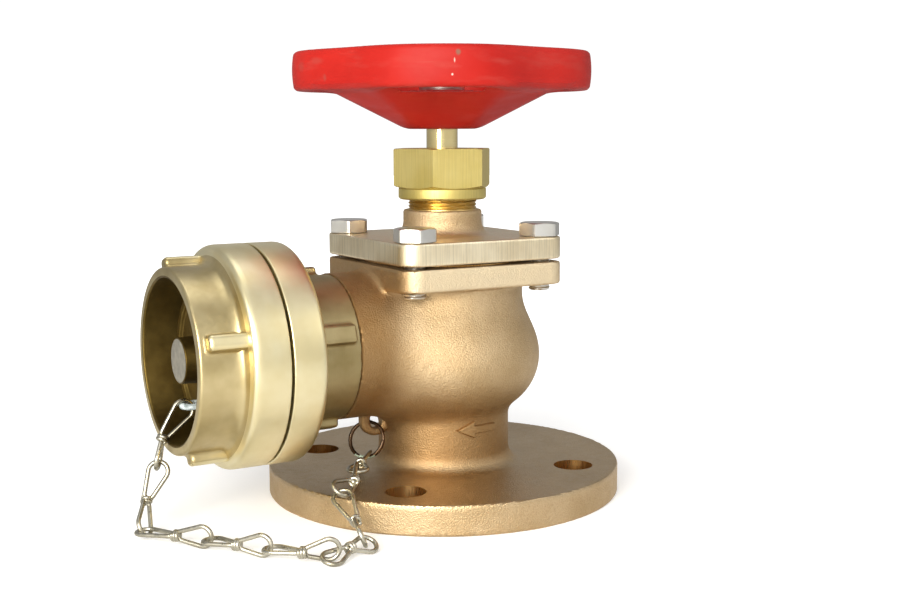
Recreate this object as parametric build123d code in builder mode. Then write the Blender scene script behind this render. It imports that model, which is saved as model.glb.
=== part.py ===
"""Right-angle globe hydrant valve with a rising stem, a lobed handwheel, a claw
coupling on the side outlet and a chained blank cap.

Millimetres, +Z up along the stem. The origin is the centre of the base
flange's bottom face, and the outlet points along -X.
"""
import os
from math import asin, cos, degrees, radians, sin, sqrt

from build123d import *

os.makedirs("parts", exist_ok=True)

# ---------------------------------------------------------------- dimensions
# Fits
running_gap = 0.1          # radial, shaft in its own hole
seated_gap = 0.1           # between pieces that are assembled and stay put
moving_gap = 0.4           # between neighbours that turn past each other
plate_cover = 1.0          # round cores stop this far inside the square plates

# Base flange, DN 50 PN 16
flange_d = 165.0
flange_t = 13.5
flange_edge_r = 1.2
flange_pcd = 125.0
flange_hole_d = 18.0
flange_hole_count = 4
bore_d = 50.0

# Body casting
neck_d = 61.6              # round neck above the base flange
globe_d = 90.8             # widest part of the globe
globe_z = 64.0
globe_arc_r = 27.0         # radius of the globe's side profile
body_wall = 5.5
top_neck_wall = 6.3
blend_r = 5.0
seat_z = 50.0
seat_land_w = 3.5
seat_lip_h = 3.6

# Square joint between body and bonnet
square_side = 83.5
square_overhang = 4.45     # square plates stand this far outside the round neck
square_corner_r = 8.5
body_square_z = 98.5
body_square_t = 10.0
gasket_t = 1.0
joint_face_step = 5.25     # round joint face ends this far inside the plates' sides
joint_face_h = 0.6
bonnet_square_t = 10.0
spigot_h = 3.0

# Bonnet bolts, M10
bolt_edge = 9.25           # bolt centres from the plates' sides
bolt_d = 10.0
bolt_head_af = 17.0
bolt_head_h = 6.4
bolt_overhang = 2.0
bolt_turn = 28.0           # degrees that the heads stopped at
bolt_clear = 0.5

# Bonnet neck and stuffing box
boss_d = 36.5
boss_h = 11.7
boss_blend_r = 6.0
boss_fillet_r = 5.5
gland_thread_d = 32.0
gland_thread_pitch = 1.5
gland_thread_len = 20.0
thread_depth = 0.8
thread_land = 0.1          # flat left on each crest and clearance over it
box_drop = 1.7             # stuffing box floor below the boss's top
hub_d = 28.0
hub_drop = 11.0
stem_guide_len = 4.0
packing_d = 23.0
packing_ring_t = 4.0
packing_ring_count = 4

# Gland nut and follower
gland_collar_d = 40.7
gland_gap = 4.8            # bare thread between boss and nut
gland_collar_h = 5.4
gland_af = 41.0
gland_hex_h = 17.9
gland_roof_t = 7.5
gland_turn = 50.0

# Stem
stem_d = 14.5
stem_thread_d = 16.0
lift = 14.0                # full opening
stem_shoulder_gap = 1.0    # left under the guide when fully open
stem_collar_d = 20.0
stem_collar_h = 4.0
stem_square_af = 10.5
stem_stud_d = 10.0
stem_square_short = 1.0    # square's top below the wheel boss
stem_overhang = 1.5        # stud above the wheel nut

# Valve disc
disc_d = 55.0
disc_t = 8.5
disc_hub_d = 29.0
disc_hub_h = 8.0
disc_floor_t = 2.4
disc_crown = 3.0           # slope from the disc's rim up to its hub
disc_stud_d = 10.0
disc_stud_len = 13.0
seat_washer_t = 3.0
plate_d = 40.0
plate_t = 2.0
disc_nut_af = 17.0
disc_nut_h = 7.5
retainer_d = 23.0

# Handwheel
wheel_hub_z = 168.8
wheel_rim_z = 186.5
wheel_rim_h = 17.2
wheel_mean_r = 65.3
wheel_lobe_h = 4.4         # lobes stand this much outside the mean radius
wheel_lobes = 4
wheel_lobe_angle = 60.0
wheel_rim_t = 8.0
wheel_rim_edge_r = 2.6
hub_side = 16.6            # flat sides of the web's foot, from the axis
hub_flat = 10.6            # half the length of each
web_side = 52.9            # the same at the web's top edge
web_flat = 30.4
web_overlap = 1.0          # web runs this far up into the rim
web_floor_t = 5.0
web_shell = 6.3            # level distance between outer and inner side
web_shell_flat = 3.3       # inner flats are this much shorter at each end
web_dip = 2.0              # top edge sinks this much in the middle of each side
web_dip_w = 40.0
wheel_boss_d = 30.0
wheel_boss_top = 17.5      # above the hub's bottom face
wheel_washer_d = 21.0
wheel_washer_t = 1.8
wheel_nut_af = 17.0
wheel_nut_h = 8.0
wheel_nut_turn = 72.0

# Outlet branch and coupling
outlet_z = 72.0
branch_step = 0.5          # branch's radius beyond the coupling's neck
branch_end = 58.5          # from the stem axis
outlet_bore_d = 50.0
outlet_thread_step = 3.8   # thread's radius beyond the coupling's bore
outlet_thread_len = 17.5
coupling_neck_wall = 2.7   # over the thread
coupling_neck_len = 22.5
neck_blend_r = 2.0
coupling_bore_d = 52.0
thread_gasket_t = 1.5
ring_w = 15.6
ring_corner_r = 3.5
face_gap = 1.2             # between the two claw rings
face_seal_step = 2.5       # seal's inner radius beyond the bore
face_seal_t = 4.5          # radial
face_seal_w = 5.0
seal_proud = 0.6           # seal's face beyond the ring's face

# Claws: two on each half, hooked behind the other half's lip
claw_step = 2.5            # claws' inner radius beyond the seal
claw_t = 4.0               # radial
claw_hook_t = 4.0          # hook's radial reach
rim_t = 5.0                # ring's metal outside the hooks
claw_span = 28.0           # degrees
claw_hook_w = 4.2
channel_depth = 12.0
lip_t = 4.0
slot_extra = 3.0           # degrees
claw_release = 34.0        # angle between the halves' claws when they part
claw_travel = 95.0         # turn from locked to released
claw_root = 0.5            # claws start this deep in the channel's floor

# Blank cap
skirt_step = 8.5           # skirt's radius inside the ring's
skirt_t = 4.5
skirt_len = 20.1
cap_disc_edge = 0.5        # disc's radius beyond the seal
shoulder_step = 3.5        # disc's rim over the hole in the ring
cap_disc_proud = 4.5       # hub of the cap disc beyond the ring's shoulder
cap_rim_w = 3.0
cap_rim_h = 1.6
cap_boss_d = 20.0
cap_boss_h = 11.0
snap_ring_proud = 2.5      # radial, ring beyond the shoulder
snap_ring_t = 1.6
snap_groove_depth = 1.5
snap_ring_gap = 12.0       # degrees left open
snap_ring_turn = 90.0      # where the opening lies, from the top
snap_side_gap = 0.2
snap_seat_gap = 0.05        # radial, ring in its groove
cap_face_back = 0.4        # cap disc's face behind the ring's face
cap_recess_w = 3.2
cap_recess_depth = 1.4

# Spanner ribs on the cap and on the coupling's neck
rib_count = 4
rib_angle = -18.0
rib_w = 8.0
cap_rib_h = 5.0
cap_rib_len = 18.6
neck_rib_h = 4.0
neck_rib_len = 19.5
rib_round = 2.0
rib_root = 1.5             # ribs start this deep in the metal that carries them

# Chain lug on the body, split ring and the cap's eye
eye_x = -36.5
eye_z = 35.7
eye_hole_d = 6.4
eye_rim = 2.9
eye_t = 3.2
eye_root = 2.0             # the lug reaches this far into the branch
ring_r = 8.3               # split ring, to the middle of its wire
ring_wire_d = 2.0
ring_hang = 9.7            # from the lug's hole down to the ring's centre
ring_swing = 26.0          # degrees the hanging ring leans towards the outlet
ring_yaw = 53.0            # degrees the ring is turned about its own hanging line
staple_drop = 20.8         # below the cap's axis
staple_side = 5.0
staple_wire_d = 2.4
staple_r = 3.8
staple_leg = 4.3

# Chain: each link is two loops of one wire, knotted together in the middle
chain_wire_d = 1.8
loop_end_r = 4.2           # loop's outer end, to the middle of the wire
loop_knot_r = 2.0
loop_start = 0.8           # from the knot's centre to the loop's near end
knot_d = 5.2
knot_len = 3.8
upright = (0, 0, 1)

# Each row: one loop's tip, the knot, the other loop's tip, then the direction
# that each loop spreads in. The chain runs from the cap to the split ring.
chain = [
    ((-123.2, 5.0, 52.6), (-135.8, 4.5, 38.4), (-138.9, 3.4, 25.8),
     (0.75, -0.1, -0.65), (0.5, 0.86, 0)),
    ((-136.8, 2.8, 28.5), (-144.4, 1.2, 13.4), (-149.8, -11.4, 2.8),
     (0.86, -0.5, 0), (0.7, 0.34, -0.59)),
    ((-151.1, -8.7, 3.6), (-140.6, -25.4, 4.5), (-129.9, -37.4, 5.5),
     (0.85, 0.53, 0), upright),
    ((-131.4, -34.6, 3.7), (-123.4, -49.2, 4.5), (-113.4, -60.2, 5.5),
     (0.88, 0.48, 0), upright),
    ((-114.8, -57.4, 3.7), (-104.9, -71.6, 4.5), (-91.4, -76.8, 5.5),
     (0.82, 0.57, 0), upright),
    ((-99.0, -80.0, 2.0), (-85.6, -74.2, 3.8), (-73.2, -71.6, 3.2),
     (0.3, 0.9, 0.3), (0.2, 0.6, 0.3)),
    ((-78.6, -72.3, 4.8), (-74.3, -56.2, 8.5), (-73.6, -39.6, 16.8),
     (0.3, 0.1, -0.6), (0.9, -0.2, 0.3)),
    ((-75.6, -41.2, 17.4), (-63.2, -32.6, 18.0), (-55.4, -19.7, 19.2),
     (-0.4, 0.55, 0.55), upright),
    ((-56.7, -21.5, 18.7), (-49.4, -11.0, 19.4), (-41.4, -0.2, 18.9),
     (0.84, -0.54, 0), (0.5, -0.35, 0.75)),
]

# ------------------------------------------------------------ derived places
top_neck_d = square_side - 2 * square_overhang
joint_face_d = square_side - 2 * joint_face_step
bolt_spacing = square_side - 2 * bolt_edge
outlet_thread_d = coupling_bore_d + 2 * outlet_thread_step
coupling_neck_d = outlet_thread_d + 2 * coupling_neck_wall
branch_d = coupling_neck_d + 2 * branch_step
face_seal_inner_d = coupling_bore_d + 2 * face_seal_step
face_seal_outer_d = face_seal_inner_d + 2 * face_seal_t
claw_inner_d = face_seal_outer_d + 2 * claw_step
claw_outer_d = claw_inner_d + 2 * claw_t
claw_hook_d = claw_outer_d + 2 * claw_hook_t
coupling_d = claw_hook_d + 2 * rim_t
skirt_outer_d = coupling_d - 2 * skirt_step
skirt_inner_d = skirt_outer_d - 2 * skirt_t
cap_disc_d = face_seal_outer_d + 2 * cap_disc_edge
shoulder_d = cap_disc_d - 2 * shoulder_step
snap_ring_d = shoulder_d + 2 * snap_ring_proud

globe_r = globe_d / 2
globe_centre_r = globe_r - globe_arc_r
body_top = body_square_z + body_square_t
bonnet_face = body_top + gasket_t
bonnet_bottom = bonnet_face + joint_face_h
bonnet_top = bonnet_bottom + bonnet_square_t
boss_top = bonnet_top + boss_h
neck_top = boss_top + gland_thread_len
thread_bottom = bonnet_bottom - hub_drop
box_floor = boss_top - box_drop
gland_bottom = boss_top + gland_gap
hex_bottom = gland_bottom + gland_collar_h
gland_top = hex_bottom + gland_hex_h
gland_roof = gland_top - gland_roof_t
packing_height = packing_ring_t * packing_ring_count

disc_bottom = seat_z + seat_washer_t
disc_top = disc_bottom + disc_t
pocket_floor = disc_bottom + disc_floor_t
disc_hub_top = disc_top + disc_hub_h
collar_bottom = pocket_floor + running_gap
collar_top = collar_bottom + stem_collar_h
shoulder_z = box_floor - stem_guide_len - stem_shoulder_gap - lift

wheel_boss_z = wheel_hub_z + wheel_boss_top
wheel_nut_z = wheel_boss_z + wheel_washer_t
stem_top = wheel_nut_z + wheel_nut_h + stem_overhang

neck_end = -(branch_end + coupling_neck_len)
mid_x = neck_end - ring_w - face_gap / 2
half_gap = face_gap / 2
ring_back = half_gap + ring_w
claw_inner_r = claw_inner_d / 2
claw_outer_r = claw_outer_d / 2
claw_hook_r = claw_hook_d / 2
channel_inner_r = claw_inner_r - moving_gap
lip_r = claw_outer_r + moving_gap
channel_outer_r = claw_hook_r + moving_gap
hook_start = half_gap + lip_t + moving_gap
claw_end = hook_start + claw_hook_w
locked_angle = claw_release + claw_travel

outlet_axis = Axis((0, 0, outlet_z), (1, 0, 0))
hex_ratio = 2 / sqrt(3)


# ------------------------------------------------------------------- helpers
def save(builder, label):
    """Label a finished piece and write it to its own STEP file."""
    builder.part.label = label
    export_step(builder.part, f"parts/{label}.step")


def turn_stem(points, mode=Mode.ADD):
    """Revolve a closed outline of (radius, z) points about the stem axis."""
    with BuildSketch(Plane.XZ) as outline:
        with BuildLine():
            Polyline(points, close=True)
        make_face()
    revolve(outline.sketch, axis=Axis.Z, mode=mode)


def outlet_plane(angle, side):
    """Plane through the outlet axis: local x leaves the coupling's mid-plane
    towards side (+1 is the valve, -1 the cap), local y is the radius."""
    a = radians(angle)
    normal = (0, -side * sin(a), side * cos(a))
    return Plane(origin=(mid_x, 0, outlet_z), x_dir=(side, 0, 0), z_dir=normal)


def turn_outlet(points, side, start=0.0, arc=360.0, mode=Mode.ADD):
    """Revolve an outline of (distance from mid-plane, radius) points."""
    with BuildSketch(outlet_plane(start, side)) as outline:
        with BuildLine():
            Polyline(points, close=True)
        make_face()
    revolve(outline.sketch, axis=outlet_axis, revolution_arc=arc, mode=mode)


def rect_points(a0, a1, b0, b1):
    """Corners of a rectangle from its two spans."""
    return [(a0, b0), (a1, b0), (a1, b1), (a0, b1)]


def claws(side, first_angle):
    """Two hooked claws, one on each side of the axis."""
    claw_start = channel_depth + half_gap + claw_root
    outline = [
        (claw_start, claw_inner_r),
        (-claw_end, claw_inner_r),
        (-claw_end, claw_hook_r),
        (-hook_start, claw_hook_r),
        (-hook_start, claw_outer_r),
        (claw_start, claw_outer_r),
    ]
    for angle in (first_angle, first_angle + 180):
        turn_outlet(outline, side, angle - claw_span / 2, claw_span)


def claw_channel(side, slot_angle):
    """Cut the undercut channel and the two slots that let the hooks in."""
    floor = half_gap + channel_depth
    lip_back = half_gap + lip_t
    undercut = [(0, channel_inner_r), (floor, channel_inner_r), (floor, channel_outer_r),
                (lip_back, channel_outer_r), (lip_back, lip_r), (0, lip_r)]
    turn_outlet(undercut, side, mode=Mode.SUBTRACT)
    span = claw_span + slot_extra
    slot = rect_points(0, lip_back + seated_gap, lip_r - seated_gap,
                       channel_outer_r - seated_gap)
    for angle in (slot_angle, slot_angle + 180):
        turn_outlet(slot, side, angle - span / 2, span, Mode.SUBTRACT)


def ribs(x_start, x_end, inner_r, outer_r):
    """Spanner ribs along the outlet, rounded where they end."""
    for k in range(rib_count):
        angle = rib_angle + 360 / rib_count * k + 180
        plane = Plane(origin=(x_start, 0, outlet_z), x_dir=(1, 0, 0),
                      z_dir=(0, cos(radians(angle)), sin(radians(angle))))
        with BuildSketch(plane.offset(inner_r)) as outline:
            with Locations(((x_end - x_start) / 2, 0)):
                RectangleRounded(abs(x_end - x_start), rib_w, rib_round)
        extrude(outline.sketch, amount=outer_r - inner_r)


# ---------------------------------------------------------------------- body
neck_r = neck_d / 2
top_neck_r = top_neck_d / 2
arc_low_z = globe_z - sqrt(globe_arc_r**2 - (neck_r - globe_centre_r) ** 2)
arc_high_z = globe_z + sqrt(globe_arc_r**2 - (top_neck_r - globe_centre_r) ** 2)
inner_arc_r = globe_arc_r - body_wall
cavity_r = top_neck_r - top_neck_wall
seat_outer_r = bore_d / 2 + seat_land_w
floor_z = seat_z - seat_lip_h
cavity_low_r = globe_centre_r + sqrt(inner_arc_r**2 - (globe_z - floor_z) ** 2)
inner_high_z = globe_z + sqrt(inner_arc_r**2 - (cavity_r - globe_centre_r) ** 2)
eye_top = outlet_z - branch_d / 2 + eye_root
core_top = body_top - plate_cover

with BuildPart() as valve_body:
    with BuildSketch(Plane.XZ):
        with BuildLine():
            Polyline((0, core_top), (0, 0), (flange_d / 2, 0), (flange_d / 2, flange_t),
                     (neck_r, flange_t), (neck_r, arc_low_z))
            ThreePointArc((neck_r, arc_low_z), (globe_r, globe_z), (top_neck_r, arc_high_z))
            Polyline((top_neck_r, arc_high_z), (top_neck_r, core_top), (0, core_top))
        make_face()
        corners = vertices()
        fillet(corners.sort_by_distance((neck_r, flange_t))[0], blend_r)
        fillet(corners.sort_by_distance((neck_r, arc_low_z))[0], blend_r)
        fillet(corners.sort_by_distance((top_neck_r, arc_high_z))[0], blend_r)
        fillet(corners.sort_by_distance((flange_d / 2, 0))[0], flange_edge_r)
    revolve(axis=Axis.Z)
    with BuildSketch(Plane.XY.offset(body_square_z)):
        RectangleRounded(square_side, square_side, square_corner_r)
    extrude(amount=body_square_t)
    with BuildSketch(Plane.YZ):
        with Locations((0, outlet_z)):
            Circle(branch_d / 2)
    extrude(amount=-branch_end)
    with BuildSketch(Plane.YZ.offset(-branch_end)):
        with Locations((0, outlet_z)):
            Circle(outlet_thread_d / 2)
    extrude(amount=-outlet_thread_len)
    with BuildSketch(Plane.XZ.offset(-eye_t / 2)):
        with Locations((eye_x, eye_z)):
            Circle(eye_hole_d / 2 + eye_rim)
        with Locations((eye_x, (eye_z + eye_top) / 2)):
            Rectangle(eye_hole_d + 2 * eye_rim, eye_top - eye_z)
    extrude(amount=eye_t)
    with BuildSketch(Plane.XZ):
        with BuildLine():
            Polyline((0, 0), (bore_d / 2, 0), (bore_d / 2, seat_z), (seat_outer_r, seat_z),
                     (seat_outer_r, floor_z), (cavity_low_r, floor_z))
            ThreePointArc((cavity_low_r, floor_z), (globe_centre_r + inner_arc_r, globe_z),
                          (cavity_r, inner_high_z))
            Polyline((cavity_r, inner_high_z), (cavity_r, body_top), (0, body_top), (0, 0))
        make_face()
    revolve(axis=Axis.Z, mode=Mode.SUBTRACT)
    with BuildSketch(Plane.YZ.offset(-seat_outer_r - seated_gap)):
        with Locations((0, outlet_z)):
            Circle(outlet_bore_d / 2)
    extrude(amount=-branch_end - outlet_thread_len, mode=Mode.SUBTRACT)
    with BuildSketch():
        with PolarLocations(flange_pcd / 2, flange_hole_count, start_angle=45):
            Circle(flange_hole_d / 2)
    extrude(amount=flange_t, mode=Mode.SUBTRACT)
    with BuildSketch(Plane.XY.offset(body_square_z)):
        with GridLocations(bolt_spacing, bolt_spacing, 2, 2):
            Circle(bolt_d / 2 + seated_gap)
    extrude(amount=body_square_t, mode=Mode.SUBTRACT)
    with BuildSketch(Plane.XZ.offset(-eye_t)):
        with Locations((eye_x, eye_z)):
            Circle(eye_hole_d / 2)
    extrude(amount=2 * eye_t, mode=Mode.SUBTRACT)
save(valve_body, "valve_body")

with BuildPart() as bonnet_gasket:
    with BuildSketch(Plane.XY.offset(body_top)):
        Circle(joint_face_d / 2)
        Circle(cavity_r + seated_gap, mode=Mode.SUBTRACT)
    extrude(amount=gasket_t)
save(bonnet_gasket, "bonnet_gasket")

# -------------------------------------------------------------------- bonnet
stem_hole_r = stem_d / 2 + running_gap
thread_hole_r = stem_thread_d / 2 + running_gap
guide_bottom = box_floor - stem_guide_len
thread_root_r = gland_thread_d / 2 - thread_depth
crest_r = gland_thread_d / 2 + thread_land
root_r = boss_d / 2 + boss_blend_r
plate_core_top = bonnet_top - plate_cover
groove_half = gland_thread_pitch / 2 - thread_land
turns = int(gland_gap / gland_thread_pitch)
groove_z = [boss_top + gland_thread_pitch * (k + 0.5) for k in range(turns)]

with BuildPart() as bonnet:
    with BuildSketch(Plane.XY.offset(bonnet_bottom)):
        RectangleRounded(square_side, square_side, square_corner_r)
    extrude(amount=bonnet_square_t)
    with BuildSketch(Plane.XZ):
        with BuildLine():
            Polyline(
                [(0, thread_bottom), (hub_d / 2, thread_bottom),
                 (hub_d / 2, bonnet_face - spigot_h),
                 (cavity_r - seated_gap, bonnet_face - spigot_h),
                 (cavity_r - seated_gap, bonnet_face), (joint_face_d / 2, bonnet_face),
                 (joint_face_d / 2, plate_core_top), (root_r, plate_core_top),
                 (root_r, bonnet_top), (boss_d / 2, bonnet_top),
                 (boss_d / 2, boss_top), (gland_thread_d / 2, boss_top),
                 (gland_thread_d / 2, neck_top), (0, neck_top)], close=True)
        make_face()
        fillet(vertices().sort_by_distance((boss_d / 2, bonnet_top))[0], boss_fillet_r)
    revolve(axis=Axis.Z)
    for z in groove_z:
        turn_stem([(crest_r, z - groove_half), (crest_r, z + groove_half),
                   (thread_root_r, z)], Mode.SUBTRACT)
    turn_stem([(0, thread_bottom), (thread_hole_r, thread_bottom), (thread_hole_r, guide_bottom),
               (stem_hole_r, guide_bottom), (stem_hole_r, box_floor),
               (packing_d / 2, box_floor), (packing_d / 2, neck_top), (0, neck_top)],
              Mode.SUBTRACT)
    with BuildSketch(Plane.XY.offset(bonnet_bottom)):
        with GridLocations(bolt_spacing, bolt_spacing, 2, 2):
            Circle(bolt_d / 2 + bolt_clear)
    extrude(amount=bonnet_square_t, mode=Mode.SUBTRACT)
save(bonnet, "bonnet")

with BuildPart() as bonnet_bolts:
    with BuildSketch(Plane.XY.offset(body_square_z - bolt_overhang)):
        with GridLocations(bolt_spacing, bolt_spacing, 2, 2):
            Circle(bolt_d / 2)
    extrude(amount=bonnet_top - body_square_z + bolt_overhang)
    with BuildSketch(Plane.XY.offset(bonnet_top)):
        with GridLocations(bolt_spacing, bolt_spacing, 2, 2):
            RegularPolygon(bolt_head_af / 2 * hex_ratio, 6, rotation=bolt_turn)
    extrude(amount=bolt_head_h)
save(bonnet_bolts, "bonnet_bolts")

# --------------------------------------------------------- packing and gland
with BuildPart() as stem_packing:
    for k in range(packing_ring_count):
        low = box_floor + packing_ring_t * k
        turn_stem(rect_points(stem_hole_r, packing_d / 2 - seated_gap, low,
                              low + packing_ring_t - seated_gap))
save(stem_packing, "stem_packing")

with BuildPart() as gland_follower:
    turn_stem(rect_points(stem_hole_r, packing_d / 2 - seated_gap,
                          box_floor + packing_height, gland_roof))
save(gland_follower, "gland_follower")

with BuildPart() as gland_nut:
    with BuildSketch(Plane.XY.offset(gland_bottom)):
        Circle(gland_collar_d / 2)
    extrude(amount=gland_collar_h)
    with BuildSketch(Plane.XY.offset(hex_bottom)):
        RegularPolygon(gland_af / 2 * hex_ratio, 6, rotation=gland_turn)
    extrude(amount=gland_hex_h)
    turn_stem([(0, gland_bottom), (gland_thread_d / 2 + seated_gap, gland_bottom),
               (gland_thread_d / 2 + seated_gap, gland_roof), (stem_hole_r, gland_roof),
               (stem_hole_r, gland_top), (0, gland_top)], Mode.SUBTRACT)
save(gland_nut, "gland_nut")

# ---------------------------------------------------------------------- stem
with BuildPart() as stem:
    turn_stem([(0, collar_bottom), (stem_collar_d / 2, collar_bottom),
               (stem_collar_d / 2, collar_top), (stem_thread_d / 2, collar_top),
               (stem_thread_d / 2, shoulder_z), (stem_d / 2, shoulder_z),
               (stem_d / 2, wheel_hub_z), (0, wheel_hub_z)])
    with BuildSketch(Plane.XY.offset(wheel_hub_z)):
        Rectangle(stem_square_af, stem_square_af, rotation=wheel_lobe_angle)
    extrude(amount=wheel_boss_top - stem_square_short)
    with BuildSketch(Plane.XY.offset(wheel_hub_z)):
        Circle(stem_stud_d / 2)
    extrude(amount=stem_top - wheel_hub_z)
save(stem, "stem")

# --------------------------------------------------- disc and what it carries
with BuildPart() as valve_disc:
    turn_stem([(0, disc_bottom), (disc_d / 2, disc_bottom), (disc_d / 2, disc_top - disc_crown),
               (disc_hub_d / 2, disc_top), (disc_hub_d / 2, disc_hub_top),
               (retainer_d / 2 + seated_gap, disc_hub_top),
               (retainer_d / 2 + seated_gap, collar_top + running_gap),
               (stem_collar_d / 2 + running_gap, collar_top + running_gap),
               (stem_collar_d / 2 + running_gap, pocket_floor), (0, pocket_floor)])
    with BuildSketch(Plane.XY.offset(disc_bottom - disc_stud_len)):
        Circle(disc_stud_d / 2)
    extrude(amount=disc_stud_len)
save(valve_disc, "valve_disc")

with BuildPart() as disc_retainer:
    turn_stem(rect_points(thread_hole_r, retainer_d / 2, collar_top + running_gap, disc_hub_top))
save(disc_retainer, "disc_retainer")

with BuildPart() as seat_washer:
    turn_stem(rect_points(disc_stud_d / 2 + seated_gap, disc_d / 2, seat_z, disc_bottom))
save(seat_washer, "seat_washer")

with BuildPart() as washer_plate:
    turn_stem(rect_points(disc_stud_d / 2 + seated_gap, plate_d / 2, seat_z - plate_t, seat_z))
save(washer_plate, "washer_plate")

with BuildPart() as disc_nut:
    with BuildSketch(Plane.XY.offset(seat_z - plate_t - disc_nut_h)):
        RegularPolygon(disc_nut_af / 2 * hex_ratio, 6)
        Circle(disc_stud_d / 2 + seated_gap, mode=Mode.SUBTRACT)
    extrude(amount=disc_nut_h)
save(disc_nut, "disc_nut")


# ----------------------------------------------------------------- handwheel
def lobed_outline(inset):
    """Face whose outline's radius swells and shrinks once for each lobe."""
    steps = 8 * wheel_lobes
    points = []
    for k in range(steps):
        a = 360 / steps * k
        r = wheel_mean_r - inset + wheel_lobe_h * cos(radians(wheel_lobes * a))
        turned = radians(a + wheel_lobe_angle)
        points.append((r * cos(turned), r * sin(turned)))
    with BuildLine() as outline:
        Spline(*points, periodic=True)
    make_face(outline.line)


def web_outline(side, flat):
    """Face with a flat side towards each lobe and the corners cut off."""
    points = []
    for k in range(wheel_lobes):
        a = radians(wheel_lobe_angle + 360 / wheel_lobes * k)
        for end in (-flat, flat):
            points.append((side * cos(a) - end * sin(a), side * sin(a) + end * cos(a)))
    with BuildLine() as outline:
        Polyline(points, close=True)
    make_face(outline.line)


web_top = wheel_rim_z + web_overlap
floor_rise = web_floor_t / (web_top - wheel_hub_z)
floor_side = hub_side + (web_side - hub_side) * floor_rise
floor_flat = hub_flat + (web_flat - hub_flat) * floor_rise
with BuildPart() as handwheel:
    with BuildSketch(Plane.XY.offset(wheel_rim_z)):
        lobed_outline(0)
    extrude(amount=wheel_rim_h)
    fillet(edges().group_by(Axis.Z)[0] + edges().group_by(Axis.Z)[-1], wheel_rim_edge_r)
    with BuildSketch(Plane.XY.offset(wheel_rim_z)):
        lobed_outline(wheel_rim_t)
    extrude(amount=wheel_rim_h, mode=Mode.SUBTRACT)
    with BuildSketch(Plane.XY.offset(wheel_hub_z)):
        web_outline(hub_side, hub_flat)
    with BuildSketch(Plane.XY.offset(web_top)):
        web_outline(web_side, web_flat)
    loft(ruled=True)
    with BuildSketch(Plane.XY.offset(wheel_hub_z + web_floor_t)):
        web_outline(floor_side - web_shell, floor_flat - web_shell_flat)
    with BuildSketch(Plane.XY.offset(web_top)):
        web_outline(web_side - web_shell, web_flat - web_shell_flat)
    loft(ruled=True, mode=Mode.SUBTRACT)
    with BuildSketch(Plane.XY.offset(web_top - web_dip)):
        for k in range(2):
            Rectangle(2 * web_side, web_dip_w, rotation=wheel_lobe_angle + 90 * k)
    extrude(amount=web_dip, mode=Mode.SUBTRACT)
    with BuildSketch(Plane.XY.offset(wheel_hub_z)):
        Circle(wheel_boss_d / 2)
    extrude(amount=wheel_boss_top)
    with BuildSketch(Plane.XY.offset(wheel_hub_z)):
        Rectangle(stem_square_af + 2 * seated_gap, stem_square_af + 2 * seated_gap,
                  rotation=wheel_lobe_angle)
    extrude(amount=wheel_boss_top, mode=Mode.SUBTRACT)
save(handwheel, "handwheel")

with BuildPart() as wheel_washer:
    turn_stem(rect_points(stem_stud_d / 2 + seated_gap, wheel_washer_d / 2, wheel_boss_z,
                          wheel_nut_z))
save(wheel_washer, "wheel_washer")

with BuildPart() as wheel_nut:
    with BuildSketch(Plane.XY.offset(wheel_nut_z)):
        RegularPolygon(wheel_nut_af / 2 * hex_ratio, 6, rotation=wheel_nut_turn)
        Circle(stem_stud_d / 2 + seated_gap, mode=Mode.SUBTRACT)
    extrude(amount=wheel_nut_h)
save(wheel_nut, "wheel_nut")

# ---------------------------------------------------------- outlet coupling
ring_r_outer = coupling_d / 2
neck_far = ring_back + coupling_neck_len
thread_stop = neck_far - outlet_thread_len - thread_gasket_t - seated_gap
thread_bore_r = outlet_thread_d / 2 + seated_gap
seal_floor = half_gap + face_seal_w - seal_proud
seal_inner_r = face_seal_inner_d / 2
seal_outer_r = face_seal_outer_d / 2

with BuildPart() as outlet_coupling:
    with BuildSketch(outlet_plane(0, 1)):
        with BuildLine():
            Polyline(
                [(half_gap, coupling_bore_d / 2), (half_gap, ring_r_outer),
                 (ring_back, ring_r_outer), (ring_back, coupling_neck_d / 2),
                 (neck_far, coupling_neck_d / 2), (neck_far, thread_bore_r),
                 (thread_stop, thread_bore_r), (thread_stop, coupling_bore_d / 2)], close=True)
        make_face()
        fillet(vertices().sort_by_distance((ring_back, ring_r_outer))[0], ring_corner_r)
        fillet(vertices().sort_by_distance((ring_back, coupling_neck_d / 2))[0], neck_blend_r)
    revolve(axis=outlet_axis)
    claw_channel(1, claw_release)
    turn_outlet(rect_points(0, seal_floor, seal_inner_r, seal_outer_r), 1, mode=Mode.SUBTRACT)
    claws(1, 0)
    ribs(neck_end - rib_root, neck_end + neck_rib_len, coupling_neck_d / 2 - rib_root,
         coupling_neck_d / 2 + neck_rib_h)
save(outlet_coupling, "outlet_coupling")

with BuildPart() as thread_gasket:
    turn_outlet(rect_points(thread_stop, thread_stop + thread_gasket_t,
                            coupling_bore_d / 2, thread_bore_r - seated_gap), 1)
save(thread_gasket, "thread_gasket")

with BuildPart() as coupling_seal:
    turn_outlet(rect_points(0, seal_floor, seal_inner_r + seated_gap,
                            seal_outer_r - seated_gap), 1)
save(coupling_seal, "coupling_seal")

# ----------------------------------------------------------------- blank cap
ring_bore_r = cap_disc_d / 2 + running_gap
shoulder_r = shoulder_d / 2 + running_gap
skirt_end = ring_back + skirt_len
disc_back = half_gap + channel_depth
recess_r = skirt_outer_d / 2 + cap_recess_w

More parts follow.
